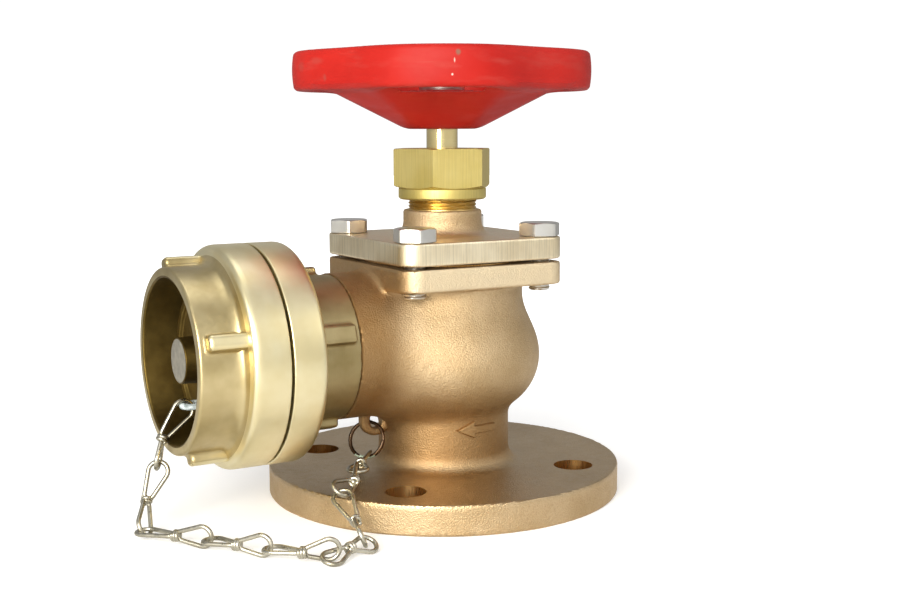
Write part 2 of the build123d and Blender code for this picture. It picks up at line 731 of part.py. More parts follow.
with BuildPart() as cap_ring:
    with BuildSketch(outlet_plane(0, -1)):
        with BuildLine():
            Polyline(
                [(half_gap, ring_bore_r), (half_gap, ring_r_outer), (ring_back, ring_r_outer),
                 (ring_back, recess_r), (ring_back - cap_recess_depth, recess_r),
                 (ring_back - cap_recess_depth, skirt_outer_d / 2),
                 (skirt_end, skirt_outer_d / 2), (skirt_end, skirt_inner_d / 2),
                 (ring_back, skirt_inner_d / 2), (ring_back, shoulder_r),
                 (disc_back, shoulder_r), (disc_back, ring_bore_r)], close=True)
        make_face()
        fillet(vertices().sort_by_distance((ring_back, ring_r_outer))[0], ring_corner_r)
    revolve(axis=outlet_axis)
    claw_channel(-1, locked_angle - claw_release)
    claws(-1, locked_angle)
    ribs(mid_x - ring_back + rib_root + cap_recess_depth, mid_x - ring_back - cap_rib_len,
         skirt_outer_d / 2 - rib_root, skirt_outer_d / 2 + cap_rib_h)
save(cap_ring, "cap_ring")

disc_hub_end = ring_back + snap_ring_t + snap_side_gap + cap_disc_proud
disc_face = disc_hub_end - cap_rim_h
cap_face = half_gap + cap_face_back
snap_start = ring_back + seated_gap
groove_r = shoulder_d / 2 - snap_groove_depth

with BuildPart() as cap_disc:
    with BuildSketch(outlet_plane(0, -1)):
        with BuildLine():
            Polyline(
                [(cap_face, 0), (cap_face, seal_inner_r), (seal_floor, seal_inner_r),
                 (seal_floor, seal_outer_r), (cap_face, seal_outer_r),
                 (cap_face, cap_disc_d / 2), (disc_back - seated_gap, cap_disc_d / 2),
                 (disc_back - seated_gap, shoulder_d / 2), (snap_start, shoulder_d / 2),
                 (snap_start, groove_r), (snap_start + snap_ring_t, groove_r),
                 (snap_start + snap_ring_t, shoulder_d / 2), (disc_hub_end, shoulder_d / 2),
                 (disc_hub_end, shoulder_d / 2 - cap_rim_w),
                 (disc_face, shoulder_d / 2 - cap_rim_w), (disc_face, cap_boss_d / 2),
                 (disc_face + cap_boss_h, cap_boss_d / 2), (disc_face + cap_boss_h, 0)],
                close=True)
        make_face()
    revolve(axis=outlet_axis)
save(cap_disc, "cap_disc")

with BuildPart() as cap_seal:
    turn_outlet(rect_points(0, seal_floor, seal_inner_r + seated_gap,
                            seal_outer_r - seated_gap), -1)
save(cap_seal, "cap_seal")

with BuildPart() as snap_ring:
    turn_outlet(rect_points(snap_start, snap_start + snap_ring_t, groove_r + snap_seat_gap,
                            snap_ring_d / 2), -1,
                snap_ring_turn + snap_ring_gap / 2, 360 - snap_ring_gap)
save(snap_ring, "snap_ring")

# ------------------------------------------------- cap eye, split ring, chain
eye_base_x = mid_x - disc_face
eye_bend_x = eye_base_x - staple_leg
eye_height = outlet_z - staple_drop

with BuildPart() as cap_eye:
    with BuildLine() as staple_path:
        Line((eye_base_x, staple_side - staple_r, eye_height),
             (eye_bend_x, staple_side - staple_r, eye_height))
        ThreePointArc((eye_bend_x, staple_side - staple_r, eye_height),
                      (eye_bend_x - staple_r, staple_side, eye_height),
                      (eye_bend_x, staple_side + staple_r, eye_height))
        Line((eye_bend_x, staple_side + staple_r, eye_height),
             (eye_base_x, staple_side + staple_r, eye_height))
    with BuildSketch(Plane(origin=(eye_base_x, staple_side - staple_r, eye_height),
                           z_dir=(-1, 0, 0))):
        Circle(staple_wire_d / 2)
    sweep(path=staple_path.wire())
save(cap_eye, "cap_eye")

swing = radians(ring_swing)
yaw = radians(ring_yaw)
hang_dir = Vector(sin(swing), 0, cos(swing))
level_dir = Vector(cos(swing), 0, -sin(swing))
ring_side = level_dir * cos(yaw) - Vector(0, 1, 0) * sin(yaw)
ring_centre = Vector(eye_x, 0, eye_z) - hang_dir * ring_hang

with BuildPart() as split_ring:
    with Locations(Plane(origin=ring_centre, x_dir=hang_dir,
                         z_dir=hang_dir.cross(ring_side))):
        Torus(ring_r, ring_wire_d / 2)
save(split_ring, "split_ring")


def chain_loop(knot, tip, spread):
    """A loop of wire, narrow beside its knot and wide at its tip."""
    start = Vector(knot)
    along = (Vector(tip) - start).normalized()
    side = (Vector(spread) - along * Vector(spread).dot(along)).normalized()
    near = loop_start + loop_knot_r
    far = (Vector(tip) - start).length - loop_end_r
    turn = 90 + degrees(asin((loop_end_r - loop_knot_r) / (far - near)))

    def place(centre, radius, angle):
        a = radians(angle)
        return start + along * (centre + radius * cos(a)) + side * (radius * sin(a))

    with BuildLine() as path:
        ThreePointArc(place(far, loop_end_r, -turn), place(far, loop_end_r, 0),
                      place(far, loop_end_r, turn))
        Line(place(far, loop_end_r, turn), place(near, loop_knot_r, turn))
        ThreePointArc(place(near, loop_knot_r, turn), place(near, loop_knot_r, 180),
                      place(near, loop_knot_r, -turn))
        Line(place(near, loop_knot_r, -turn), place(far, loop_end_r, -turn))
    wire = path.wire()
    with BuildSketch(Plane(origin=wire @ 0, z_dir=wire % 0)) as section:
        Circle(chain_wire_d / 2)
    sweep(section.sketch, path=wire)


with BuildPart() as chain_links:
    for first_tip, knot, last_tip, first_spread, last_spread in chain:
        chain_loop(knot, first_tip, first_spread)
        chain_loop(knot, last_tip, last_spread)
        with Locations(Plane(origin=knot, z_dir=Vector(last_tip) - Vector(first_tip))):
            Cylinder(knot_d / 2, knot_len)
save(chain_links, "chain_links")
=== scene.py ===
# %% [markdown]
# # A right-angle globe valve with a claw coupling and a chained cap
#
# Water comes up through the round base flange, past a rubber-faced disc that the red wheel
# lifts off its seat, and out through the coupling on the left, which a blank cap closes.
# The CAD part already gives every place and size. This lesson dresses it: each piece gets the
# rounded edges, threads and bends of the real one, and each surface the finish it was made with.
# Shapes are worked out in millimetres, as on a drawing, and become metres as a mesh is made.

import math

import bpy
import numpy as np
from mathutils import Matrix, Vector


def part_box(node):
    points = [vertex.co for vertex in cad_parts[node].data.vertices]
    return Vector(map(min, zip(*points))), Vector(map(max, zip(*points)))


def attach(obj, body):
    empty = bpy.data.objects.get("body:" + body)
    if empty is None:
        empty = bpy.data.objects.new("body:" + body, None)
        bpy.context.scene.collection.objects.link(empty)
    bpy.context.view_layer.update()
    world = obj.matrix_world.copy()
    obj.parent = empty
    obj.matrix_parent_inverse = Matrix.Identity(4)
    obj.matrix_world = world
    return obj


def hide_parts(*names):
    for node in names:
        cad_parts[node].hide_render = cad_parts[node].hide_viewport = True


MM = 0.001
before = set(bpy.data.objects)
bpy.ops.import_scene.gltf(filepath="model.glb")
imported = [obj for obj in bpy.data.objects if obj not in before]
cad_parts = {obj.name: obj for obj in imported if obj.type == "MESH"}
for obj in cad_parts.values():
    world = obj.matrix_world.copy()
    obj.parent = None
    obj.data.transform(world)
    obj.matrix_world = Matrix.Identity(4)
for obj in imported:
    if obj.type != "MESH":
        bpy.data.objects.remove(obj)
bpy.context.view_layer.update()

# %% [markdown]
# ## The camera
#
# A product picture is taken from about half a metre away, a little above the coupling. The lens
# is a short telephoto, so that the near flange isn't swollen. The view is level but for a fifth
# of a degree of roll, which comes from hand-held framing.

# %% Camera
eye = Vector((-0.3044, -0.5302, 0.1700))
target = Vector((0.00110, -0.00490, 0.08947))
forward = (target - eye).normalized()
right = forward.cross(Vector((0, 0, 1))).normalized()
up = right.cross(forward)
turn = Matrix((right, up, -forward)).transposed().to_4x4()
camera_data = bpy.data.cameras.new("camera")
camera_data.lens = 52.44
camera_data.sensor_width = 36.0
camera_data.clip_start = 0.02
camera = bpy.data.objects.new("camera", camera_data)
camera.matrix_world = Matrix.Translation(eye) @ turn @ Matrix.Rotation(math.radians(-0.20), 4, "Z")
bpy.context.scene.collection.objects.link(camera)
bpy.context.scene.camera = camera
bpy.context.scene.view_settings.view_transform = "Standard"
print("camera to target:", round((target - eye).length, 3), "m")

# %% [markdown]
# ## Nodes and colours
#
# A finish is a small network of shader nodes. Typing each node out takes many lines, so one
# helper adds a node, sets it and links it. Colours are chosen as hex codes, which are meant for
# a screen, and one function turns them into the linear light that a renderer adds up.

# %% Helpers for finishes
def linear(code):
    """Linear colour of an sRGB hex code: c/12.92 up to 0.04045, else ((c + 0.055)/1.055)^2.4."""
    part = np.array([int(code[k : k + 2], 16) for k in (0, 2, 4)]) / 255
    lit = np.where(part <= 0.04045, part / 12.92, ((part + 0.055) / 1.055) ** 2.4)
    return (*[float(c) for c in lit], 1.0)


def add(tree, kind, inputs=None, **settings):
    """Add a node: settings are its own properties, inputs its sockets, each a value or a link."""
    made = tree.nodes.new(kind)
    for key, value in settings.items():
        setattr(made, key, value)
    for key, value in (inputs or {}).items():
        if isinstance(value, bpy.types.NodeSocket):
            tree.links.new(value, made.inputs[key])
        else:
            made.inputs[key].default_value = value
    return made


def new_finish(name, **sockets):
    """A new finish: its material, tree, shader with the sockets set, and place on the part."""
    material = bpy.data.materials.new(name)
    material.use_nodes = True
    tree = material.node_tree
    shader = tree.nodes["Principled BSDF"]
    for key, value in sockets.items():
        shader.inputs[key.capitalize()].default_value = value
    return material, tree, shader, add(tree, "ShaderNodeTexCoord").outputs["Object"]


def fed(material, shader, colour, roughness=None, normal=None):
    """The finish, once its colour, roughness and normal lead into its shader."""
    for key, link in (("Base Color", colour), ("Roughness", roughness), ("Normal", normal)):
        if link is not None:
            material.node_tree.links.new(link, shader.inputs[key])
    return material


# %% [markdown]
# ## Floor and light
#
# The valve stands on white paper in a bright room of soft boxes. Brass and bronze show mostly
# what they mirror, so the room matters more than any lamp: it is bright in front and to the
# left, and dimmer overhead, behind and to the right, which draws the dark side of the globe. The
# camera itself sees a plain white wall.

# %% Floor
def make_floor():
    """A disc of 4 m radius. The camera sees it lifted to paper white: by 0.25 near the valve and
    1.1 beyond 0.6 m. Mirrors see the paper with painted shade, greyer at the back, away from the light."""
    sides = 96
    angle = np.linspace(0, 2 * np.pi, sides, endpoint=False)
    points = np.stack([4 * np.cos(angle), 4 * np.sin(angle), 0 * angle], 1)
    mesh = bpy.data.meshes.new("floor")
    mesh.from_pydata(points.tolist(), [], [list(range(sides))])
    material, tree, shader, place = new_finish("white_paper", roughness=0.9)
    shader.inputs["Emission Color"].default_value = linear("FFFFFF")
    axes = add(tree, "ShaderNodeSeparateXYZ", {0: place})
    # Painted shade: the paper's colour greys towards the back, for what the mirrors see.
    back = add(tree, "ShaderNodeMapRange", {0: axes.outputs[1], 1: 0.15, 2: 0.6})
    paper = add(
        tree, "ShaderNodeMix", {0: back.outputs[0], 6: linear("E9E9E8"), 7: linear("B8B8B6")},
        data_type="RGBA",
    )
    away = add(tree, "ShaderNodeVectorMath", {0: place}, operation="LENGTH")
    lift = add(
        tree, "ShaderNodeMapRange", {0: away.outputs["Value"], 1: 0.1, 2: 0.6, 3: 0.25, 4: 1.1}
    )
    ray = add(tree, "ShaderNodeLightPath").outputs["Is Camera Ray"]
    seen = add(tree, "ShaderNodeMath", {0: ray, 1: lift.outputs[0]}, operation="MULTIPLY")
    tree.links.new(seen.outputs[0], shader.inputs["Emission Strength"])
    mesh.materials.append(fed(material, shader, paper.outputs[2]))
    floor = bpy.data.objects.new("floor", mesh)
    bpy.context.scene.collection.objects.link(floor)


make_floor()

# %% Lights
def soft_box(name, place, aim, size, watts, colour="FFFFFF"):
    """A square lamp at place that faces aim."""
    data = bpy.data.lights.new(name, "AREA")
    data.size, data.energy = size, watts
    data.color = linear(colour)[:3]
    lamp = bpy.data.objects.new(name, data)
    lamp.location = place
    lamp.rotation_euler = (Vector(aim) - Vector(place)).to_track_quat("-Z", "Y").to_euler()
    bpy.context.scene.collection.objects.link(lamp)


AIM = (0, 0, 0.08)  # the middle of the globe
soft_box("key_box", (-0.88, -0.70, 0.40), AIM, 0.5, 16.0, "FFFBF4")
soft_box("front_box", (-0.45, -0.95, 0.52), AIM, 0.5, 4.0, "FFFBF4")
soft_box("right_box", (0.75, -0.85, 0.72), AIM, 0.6, 1.5)
soft_box("top_box", (0.0, 0.2, 1.4), (0, 0, 0.1), 0.8, 3.0)

world = bpy.data.worlds.new("bright_room")
bpy.context.scene.world = world
world.use_nodes = True
room = world.node_tree
room.nodes.clear()
way = add(room, "ShaderNodeTexCoord").outputs["Generated"]
side = add(room, "ShaderNodeVectorMath", {0: way, 1: (-0.30, -0.92, -0.25)}, operation="DOT_PRODUCT")
light = add(
    room, "ShaderNodeMapRange", {0: side.outputs["Value"], 1: -0.85, 2: 0.60, 3: 0.50, 4: 1.0},
    interpolation_type="SMOOTHSTEP",
)
mirrored = add(room, "ShaderNodeBackground", {"Strength": light.outputs[0]})
seen = add(room, "ShaderNodeBackground", {"Color": (1, 1, 1, 1), "Strength": 1.05})
ray = add(room, "ShaderNodeLightPath").outputs["Is Camera Ray"]
both = add(room, "ShaderNodeMixShader", {0: ray, 1: mirrored.outputs[0], 2: seen.outputs[0]})
add(room, "ShaderNodeOutputWorld", {"Surface": both.outputs[0]})

# %% [markdown]
# ## Putting a surface into a mesh
#
# Most pieces here are turned, drawn or bent, so a surface is a grid of points: rows along a
# profile, columns round an axis. The helper joins the grid with four-sided faces, welds the
# points that meet at seams and poles, and marks edges sharper than an angle as sharp, so that
# the rest is shaded smoothly.

# %% Mesh helpers
def grid_faces(rows, columns, close_rows=False, close_columns=True):
    """Faces of a grid of points stored row by row: each joins (i, j) to its next row and column."""
    i = np.arange(rows if close_rows else rows - 1)[:, None]
    j = np.arange(columns if close_columns else columns - 1)[None, :]
    i2, j2 = (i + 1) % rows, (j + 1) % columns
    corners = [i * columns + j, i * columns + j2, i2 * columns + j2, i2 * columns + j]
    return np.stack(np.broadcast_arrays(*corners), -1).reshape(-1, 4)


def make_piece(name, shapes, finishes, body, stands_for, sharp=32.0):
    """Weld (points, faces, finish number) shapes in millimetres into one object on a body."""
    start = np.cumsum([0] + [len(points) for points, _, _ in shapes])
    points = np.concatenate([points for points, _, _ in shapes])
    faces = np.concatenate([f + s for (_, f, _), s in zip(shapes, start)])
    marks = np.concatenate([np.broadcast_to(m, len(f)) for _, f, m in shapes])
    rounded = np.round(points, 4)
    _, first, where = np.unique(rounded, axis=0, return_index=True, return_inverse=True)
    faces = where.reshape(-1)[faces]
    same = faces == np.roll(faces, -1, 1)
    whole, folded = [same.sum(1) == count for count in (0, 1)]
    keep = (np.argmax(same[folded], 1)[:, None] + np.arange(1, 4)) % 4
    thirds = np.take_along_axis(faces[folded], keep, 1)
    quads = faces[whole]
    mesh = bpy.data.meshes.new(name)
    mesh.from_pydata((points[first] * MM).tolist(), [], quads.tolist() + thirds.tolist())
    numbers = np.concatenate([marks[whole], marks[folded]]).astype(np.int32)
    mesh.polygons.foreach_set("material_index", numbers)
    mesh.polygons.foreach_set("use_smooth", np.ones(len(mesh.polygons), bool))
    for finish in finishes:
        mesh.materials.append(finish)
    mesh.set_sharp_from_angle(angle=math.radians(sharp))
    mesh.update()
    piece = bpy.data.objects.new(name, mesh)
    bpy.context.scene.collection.objects.link(piece)
    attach(piece, body)
    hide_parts(*stands_for)
    print(f"{name}: {2 * len(quads) + len(thirds)} triangles")


# %% [markdown]
# ## Turned shapes
#
# A lathe makes a shape whose outline is carried round an axis. No lathe leaves a knife edge,
# so each corner of an outline is swapped for a small arc, which catches a thin line of light.
# A hexagon is round bar cut down: its radius is never more than the distance to the nearest
# flat. Where a cone meets the flats, in rows close enough, come the curved bevels of a real nut.

# %% Outlines and turning
OUTLET = np.array([-97.2, 0.0, 72.0])  # where the coupling's two rings meet, on the outlet's axis


def soft_corners(outline, radius, closed=True, steps=4):
    """Outline with corners rounded: each corner P becomes an arc between the points radius away
    along its two sides, P + a(1 - t)^2 + b t^2 for t from 0 to 1, with a and b those two steps."""
    corner = np.array(outline, float)
    reach = np.broadcast_to(np.array(radius, float), len(corner))[:, None]
    sides = []
    for neighbour in (np.roll(corner, 1, 0), np.roll(corner, -1, 0)):
        side = neighbour - corner
        length = np.linalg.norm(side, axis=1, keepdims=True)
        sides.append((side / length * np.minimum(reach, 0.45 * length))[:, None])
    t = np.linspace(0, 1, steps)[None, :, None]
    arcs = corner[:, None] + sides[0] * (1 - t) ** 2 + sides[1] * t**2
    if not closed:
        arcs[0], arcs[-1] = corner[0], corner[-1]
    return arcs.reshape(-1, 2)


def turned(outline, columns=96, closed=True, shape=None, outlet=0, mark=0):
    """Surface of revolution: (r cos u, r sin u, z) for each (r, z) of the outline and angle u.
    shape(u, r, z) may give another radius. With outlet set, z runs along the outlet's axis from
    OUTLET instead: -1 towards the cap, 1 towards the valve."""
    rows = np.array(outline, float)
    u = np.linspace(0, 2 * np.pi, columns, endpoint=False)[None, :]
    r, z = rows[:, :1] + 0 * u, rows[:, 1:] + 0 * u
    if shape:
        r = shape(u + 0 * z, r, z)
    points = np.stack([r * np.cos(u), r * np.sin(u), z], -1).reshape(-1, 3)
    faces = grid_faces(len(rows), columns, close_rows=closed)
    area = np.sum(rows[:, 0] * np.roll(rows[:, 1], -1) - np.roll(rows[:, 0], -1) * rows[:, 1])
    if area < 0:
        faces = faces[:, ::-1]
    if outlet:
        points = OUTLET + points[:, [2, 1, 0]] * np.array([outlet, outlet, 1.0])
        if outlet > 0:
            faces = faces[:, ::-1]
    return points, faces, mark


def hexagon(across, turn_degrees):
    """Shape rule for turned(): radius is at most (across / 2) / cos(angle to the nearest flat)."""
    def trim(u, r, z):
        off = (u - math.radians(turn_degrees)) % (np.pi / 3) - np.pi / 6
        return np.minimum(r, across / 2 / np.cos(off))
    return trim


# %% [markdown]
# ## Threads
#
# A screw thread is a groove that climbs by one pitch in each turn. As a surface of height and
# angle it is a bar whose radius dips wherever height and angle together are between two crests,
# so the helix comes out by itself.

# %% Thread rule
def thread(crest, depth, pitch, low, high):
    """Shape rule: radius = crest - depth * |triangle wave of z / pitch - u / 2 pi|, between low and
    high only, and it fades to a plain bar over the last 0.6 mm at both ends."""
    def cut(u, r, z):
        wave = np.abs(2 * ((z / pitch - u / (2 * np.pi)) % 1.0) - 1)
        here = np.clip((z - low) / 0.6, 0, 1) * np.clip((high - z) / 0.6, 0, 1)
        return np.where(here > 0, np.minimum(r, crest - depth * wave * here), r)
    return cut


# %% [markdown]
# ## Castings
#
# A casting is several plain forms that flow into each other, and no single grid of rows and
# columns follows them all. So a casting is described by how far a point is from its skin: less
# than zero is metal. Plain forms are joined with a soft minimum,
# which leaves the fillet that the pattern maker puts into each inside corner. The skin is then
# drawn through a grid of cubes. The corner of each patch goes where the tangent planes meet, so
# machined edges stay crisp while the fillets stay smooth.

# %% Distances and the skin
def blended(a, b, width):
    """Soft union: the nearer of two distances, less width h(1 - h) where both are about as near."""
    h = np.clip(0.5 + 0.5 * (b - a) / width, 0, 1)
    return b + (a - b) * h - width * h * (1 - h)


def slab(across, along, half_across, half_along, edge):
    """Distance to a rectangle in the two given coordinates, with its corners rounded to edge."""
    a = np.abs(across) - (half_across - edge)
    b = np.abs(along) - (half_along - edge)
    return np.hypot(np.maximum(a, 0), np.maximum(b, 0)) + np.minimum(np.maximum(a, b), 0) - edge


def slice_of(outline, away, half, edge, deep=20):
    """Distance to a flat outline made into a slice: half to both sides of away = 0, with the rims
    rounded to edge. deep is any depth beyond half."""
    return slab(np.maximum(outline + deep, 0), away, deep, half, edge)


SQUARE_HALF, SQUARE_CORNER = 41.75, 8.5  # the two square flanges


def square_plate(x, y, z, low, high, edge):
    """Distance to one of the square flanges, from the height low to high."""
    outline = slab(x, y, SQUARE_HALF, SQUARE_HALF, SQUARE_CORNER)
    return slice_of(outline, z - (low + high) / 2, (high - low) / 2, edge, 50)


def skin(distance, low, high, step):
    """Points and faces of the surface where distance(x, y, z) is zero, by dual contouring. Where
    the surface cuts a grid line is found by halving the line's cell six times."""
    low = np.array(low, float)
    size = np.ceil((np.array(high, float) - low) / step).astype(int) + 1
    axes = [low[k] + step * np.arange(size[k]) for k in range(3)]
    value = distance(*np.meshgrid(*axes, indexing="ij", sparse=True))
    stride = np.array([size[1] * size[2], size[2], 1])
    cubes, points, leaving = [], [], []
    for axis in range(3):
        near = np.take(value, np.arange(size[axis] - 1), axis)
        far = np.take(value, np.arange(1, size[axis]), axis)
        crossed = (near < 0) != (far < 0)
        index = np.argwhere(crossed)
        point, part = low + step * index, np.array([0.0, 1.0])[:, None] + 0 * near[crossed]
        for _ in range(6):
            half = point.copy()
            half[:, axis] += step * part.mean(0)
            same_side = (distance(*half.T) < 0) == (near[crossed] < 0)
            part = np.where([same_side, ~same_side], part.mean(0), part)
        point[:, axis] += step * part.mean(0)
        b, c = stride[(axis + 1) % 3], stride[(axis + 2) % 3]
        here = index @ stride
        around = np.stack([here, here - b, here - b - c, here - c], 1)
        out = near[crossed] < 0
        cubes.append(np.where(out[:, None], around, around[:, ::-1]))
        points.append(point)
    cubes, points = np.concatenate(cubes), np.concatenate(points)
    names, where = np.unique(cubes, return_inverse=True)
    where = where.reshape(-1, 4)

    def total(columns):
        """Sums, cube by cube, of what each crossing has."""
        return np.stack([np.bincount(where.ravel(), np.repeat(v, 4)) for v in columns], 1)

    slope = slopes(distance, points)
    count = np.bincount(where.ravel())
    middle = total(points.T) / count[:, None]
    planes = np.stack([total((slope[:, k, None] * slope).T) for k in range(3)], 1)
    height = (slope * points).sum(1, keepdims=True)
    pull = total((slope * height).T)[:, :, None] - planes @ middle[:, :, None]
    planes += 0.02 * count[:, None, None] * np.eye(3)
    shift = np.linalg.solve(planes, pull)[:, :, 0]
    length = np.linalg.norm(shift, axis=1, keepdims=True)
    shift *= np.minimum(1, step / np.maximum(length, 1e-9))
    return middle + shift, where


def slopes(distance, points, reach=0.05):
    """Outward direction at each point: the distance's central differences, made one long."""
    sides = []
    for k in range(3):
        move = np.zeros(3)
        move[k] = reach
        ahead, behind = points + move, points - move
        sides.append(distance(*ahead.T) - distance(*behind.T))
    slope = np.stack(sides, 1)
    return slope / np.maximum(np.linalg.norm(slope, axis=1, keepdims=True), 1e-9)


# %% [markdown]
# ## Sand-cast bronze
#
# The body is poured into a sand mould and then blasted. Its skin keeps the grain of the sand,
# about half a millimetre, over shallow lumps where the mould gave way. Grain that fine only just
# shows, so it is drawn at 0.65 mm. The bump does most of the work, because it breaks up the mirror
# image of the room. Painted shade, together with grime, browns the neck under the globe and the
# branch towards the outlet. A painted highlight makes the front face of the square flange and the
# bonnet's top paler.

# %% Finish: sand-cast bronze
FLANGE_TOP, BONNET_TOP = 0.0135, 0.1201  # heights of the two flat tops, in metres


def sand_cast_bronze():
    """Bronze in two browns, matt, less matt on the two flat tops, under two sizes of bump, with painted
    shade and grime low on the neck and by the outlet, and a painted highlight on the front face and
    bonnet top."""
    material, tree, shader, place = new_finish("sand_cast_bronze", metallic=1.0)
    cloud, patch, grain = [
        add(tree, "ShaderNodeTexNoise", {"Vector": place, "Scale": 1000 / cell, "Detail": detail})
        for cell, detail in ((22, 4.0), (3.5, 3.0), (0.65, 3.0))
    ]
    spread = add(tree, "ShaderNodeMapRange", {0: cloud.outputs["Fac"], 1: 0.36, 2: 0.64})
    tone = add(
        tree, "ShaderNodeMix", {0: spread.outputs[0], 6: linear("B8A07A"), 7: linear("C5AE8A")},
        data_type="RGBA",
    )
    speck = add(
        tree, "ShaderNodeMapRange", {0: grain.outputs["Fac"], 1: 0.40, 2: 0.70, 3: 0.0, 4: 0.35}
    )
    colour = add(
        tree, "ShaderNodeMix", {0: speck.outputs[0], 6: tone.outputs[2], 7: linear("9C7A50")},
        data_type="RGBA",
    )
    dull = add(
        tree, "ShaderNodeMapRange", {0: patch.outputs["Fac"], 1: 0.3, 2: 0.7, 3: 0.48, 4: 0.60}
    )
    lumps = add(
        tree, "ShaderNodeBump", {"Height": patch.outputs["Fac"], "Strength": 0.25, "Distance": 0.0006}
    )
    skin_bump = add(
        tree, "ShaderNodeBump",
        {"Height": grain.outputs["Fac"], "Strength": 1.0, "Distance": 0.0003, "Normal": lumps.outputs[0]},
    )
    x, y, z = add(tree, "ShaderNodeSeparateXYZ", {0: place}).outputs
    flats = []
    for height in (FLANGE_TOP, BONNET_TOP):
        gap = add(tree, "ShaderNodeMath", {0: z, 1: height}, operation="SUBTRACT")
        gap = add(tree, "ShaderNodeMath", {0: gap.outputs[0]}, operation="ABSOLUTE")
        near = {0: gap.outputs[0], 1: 0.0004, 2: 0.0030, 3: 0.18, 4: 0.0}
        flats.append(add(tree, "ShaderNodeMapRange", near).outputs[0])
    flat = add(tree, "ShaderNodeMath", {0: flats[0], 1: flats[1]}, operation="MAXIMUM")
    dull = add(tree, "ShaderNodeMath", {0: dull.outputs[0], 1: flat.outputs[0]}, operation="SUBTRACT")
    # Painted shade with grime: browner low on the neck under the globe and on the branch by the outlet,
    # where shade falls.
    low_part = add(
        tree, "ShaderNodeMapRange", {0: z, 1: 0.058, 2: 0.034, 3: 0.0, 4: 0.75},
        interpolation_type="SMOOTHSTEP",
    )
    above = add(tree, "ShaderNodeMapRange", {0: z, 1: FLANGE_TOP, 2: 0.020})
    neck_shade_grime = add(
        tree, "ShaderNodeMath", {0: low_part.outputs[0], 1: above.outputs[0]}, operation="MULTIPLY"
    )
    outlet_shade_grime = add(
        tree, "ShaderNodeMapRange", {0: x, 1: -0.030, 2: -0.050, 3: 0.0, 4: 0.85},
        interpolation_type="SMOOTHSTEP",
    )
    off_flange = add(tree, "ShaderNodeMapRange", {0: z, 1: FLANGE_TOP, 2: 0.030})
    branch_shade_grime = add(
        tree, "ShaderNodeMath", {0: outlet_shade_grime.outputs[0], 1: off_flange.outputs[0]},
        operation="MULTIPLY",
    )
    shade_grime = add(
        tree, "ShaderNodeMath", {0: neck_shade_grime.outputs[0], 1: branch_shade_grime.outputs[0]},
        operation="MAXIMUM",
    )
    patchy = add(
        tree, "ShaderNodeMapRange", {0: cloud.outputs["Fac"], 1: 0.3, 2: 0.7, 3: 0.7, 4: 1.1}
    )
    patchy_shade_grime = add(
        tree, "ShaderNodeMath", {0: shade_grime.outputs[0], 1: patchy.outputs[0]},
        operation="MULTIPLY", use_clamp=True,
    )
    shade_grime_brown = add(
        tree, "ShaderNodeMix", {0: patchy_shade_grime.outputs[0], 6: colour.outputs[2], 7: linear("8A6638")},
        data_type="RGBA",
    )
    # Painted highlight: the front face of the square flange and the bonnet's top are made paler.
    front = add(tree, "ShaderNodeMapRange", {0: y, 1: -0.0385, 2: -0.0415})
    high = add(tree, "ShaderNodeMapRange", {0: z, 1: 0.0985, 2: 0.0995})
    front_face_painted_highlight = add(
        tree, "ShaderNodeMath", {0: front.outputs[0], 1: high.outputs[0]}, operation="MULTIPLY"
    )
    bonnet_top_painted_highlight = add(tree, "ShaderNodeMapRange", {0: flats[1], 1: 0.0, 2: 0.18})
    bright = add(
        tree, "ShaderNodeMath", {0: front_face_painted_highlight.outputs[0], 1: bonnet_top_painted_highlight.outputs[0]}, operation="MAXIMUM"
    )
    half_bright = add(tree, "ShaderNodeMath", {0: bright.outputs[0], 1: 0.75}, operation="MULTIPLY")
    painted_highlight_colour = add(
        tree, "ShaderNodeMix", {0: half_bright.outputs[0], 6: shade_grime_brown.outputs[2], 7: linear("E8D8B8")},
        data_type="RGBA",
    )
    return fed(material, shader, painted_highlight_colour.outputs[2], dull.outputs[0], skin_bump.outputs[0])


bronze = sand_cast_bronze()

# %% [markdown]
# ## Turned and drawn brass
#
# A lathe tool leaves rings too fine to see one by one, but they stretch each highlight across
# them. The rings run round the axis, so the pattern changes only along it: noise squeezed along
# the axis and left long the other way. The same idea, turned upright, gives the marks of a
# file or of a drawing die along a hexagon bar.

# %% Finish: brass with fine lines
def metal(name, light, dark, squeeze, roughness, spread=0.10, bump=0.12, cell=0.35, streak=0.0):
    """Metal with lines: noise in cells of cell millimetres along the axes where squeeze is 1, and
    longer ones where it is less. streak is how far the lines darken the colour."""
    material, tree, shader, place = new_finish(name, metallic=1.0)
    scale = [1000 / cell * s for s in squeeze]
    scaled = add(tree, "ShaderNodeMapping", {"Vector": place, "Scale": scale})
    line = add(tree, "ShaderNodeTexNoise", {"Vector": scaled.outputs[0], "Scale": 1.0, "Detail": 3.0})
    cloud = add(tree, "ShaderNodeTexNoise", {"Vector": place, "Scale": 1000 / 18, "Detail": 3.0})
    stain = add(tree, "ShaderNodeMapRange", {0: cloud.outputs["Fac"], 1: 0.38, 2: 0.66})
    tone = add(
        tree, "ShaderNodeMix", {0: stain.outputs[0], 6: linear(light), 7: linear(dark)}, data_type="RGBA"
    )
    drawn = add(
        tree, "ShaderNodeMapRange", {0: line.outputs["Fac"], 1: 0.42, 2: 0.66, 3: 1.0, 4: 1.0 - streak}
    )
    colour = add(
        tree, "ShaderNodeMix", {0: 1.0, 6: tone.outputs[2], 7: drawn.outputs[0]},
        data_type="RGBA", blend_type="MULTIPLY",
    )
    dull = add(
        tree, "ShaderNodeMapRange",
        {0: line.outputs["Fac"], 1: 0.3, 2: 0.7, 3: roughness - spread / 2, 4: roughness + spread / 2},
    )
    ridges = add(
        tree, "ShaderNodeBump", {"Height": line.outputs["Fac"], "Strength": bump, "Distance": 0.0001}
    )
    return fed(material, shader, colour.outputs[2], dull.outputs[0], ridges.outputs[0])


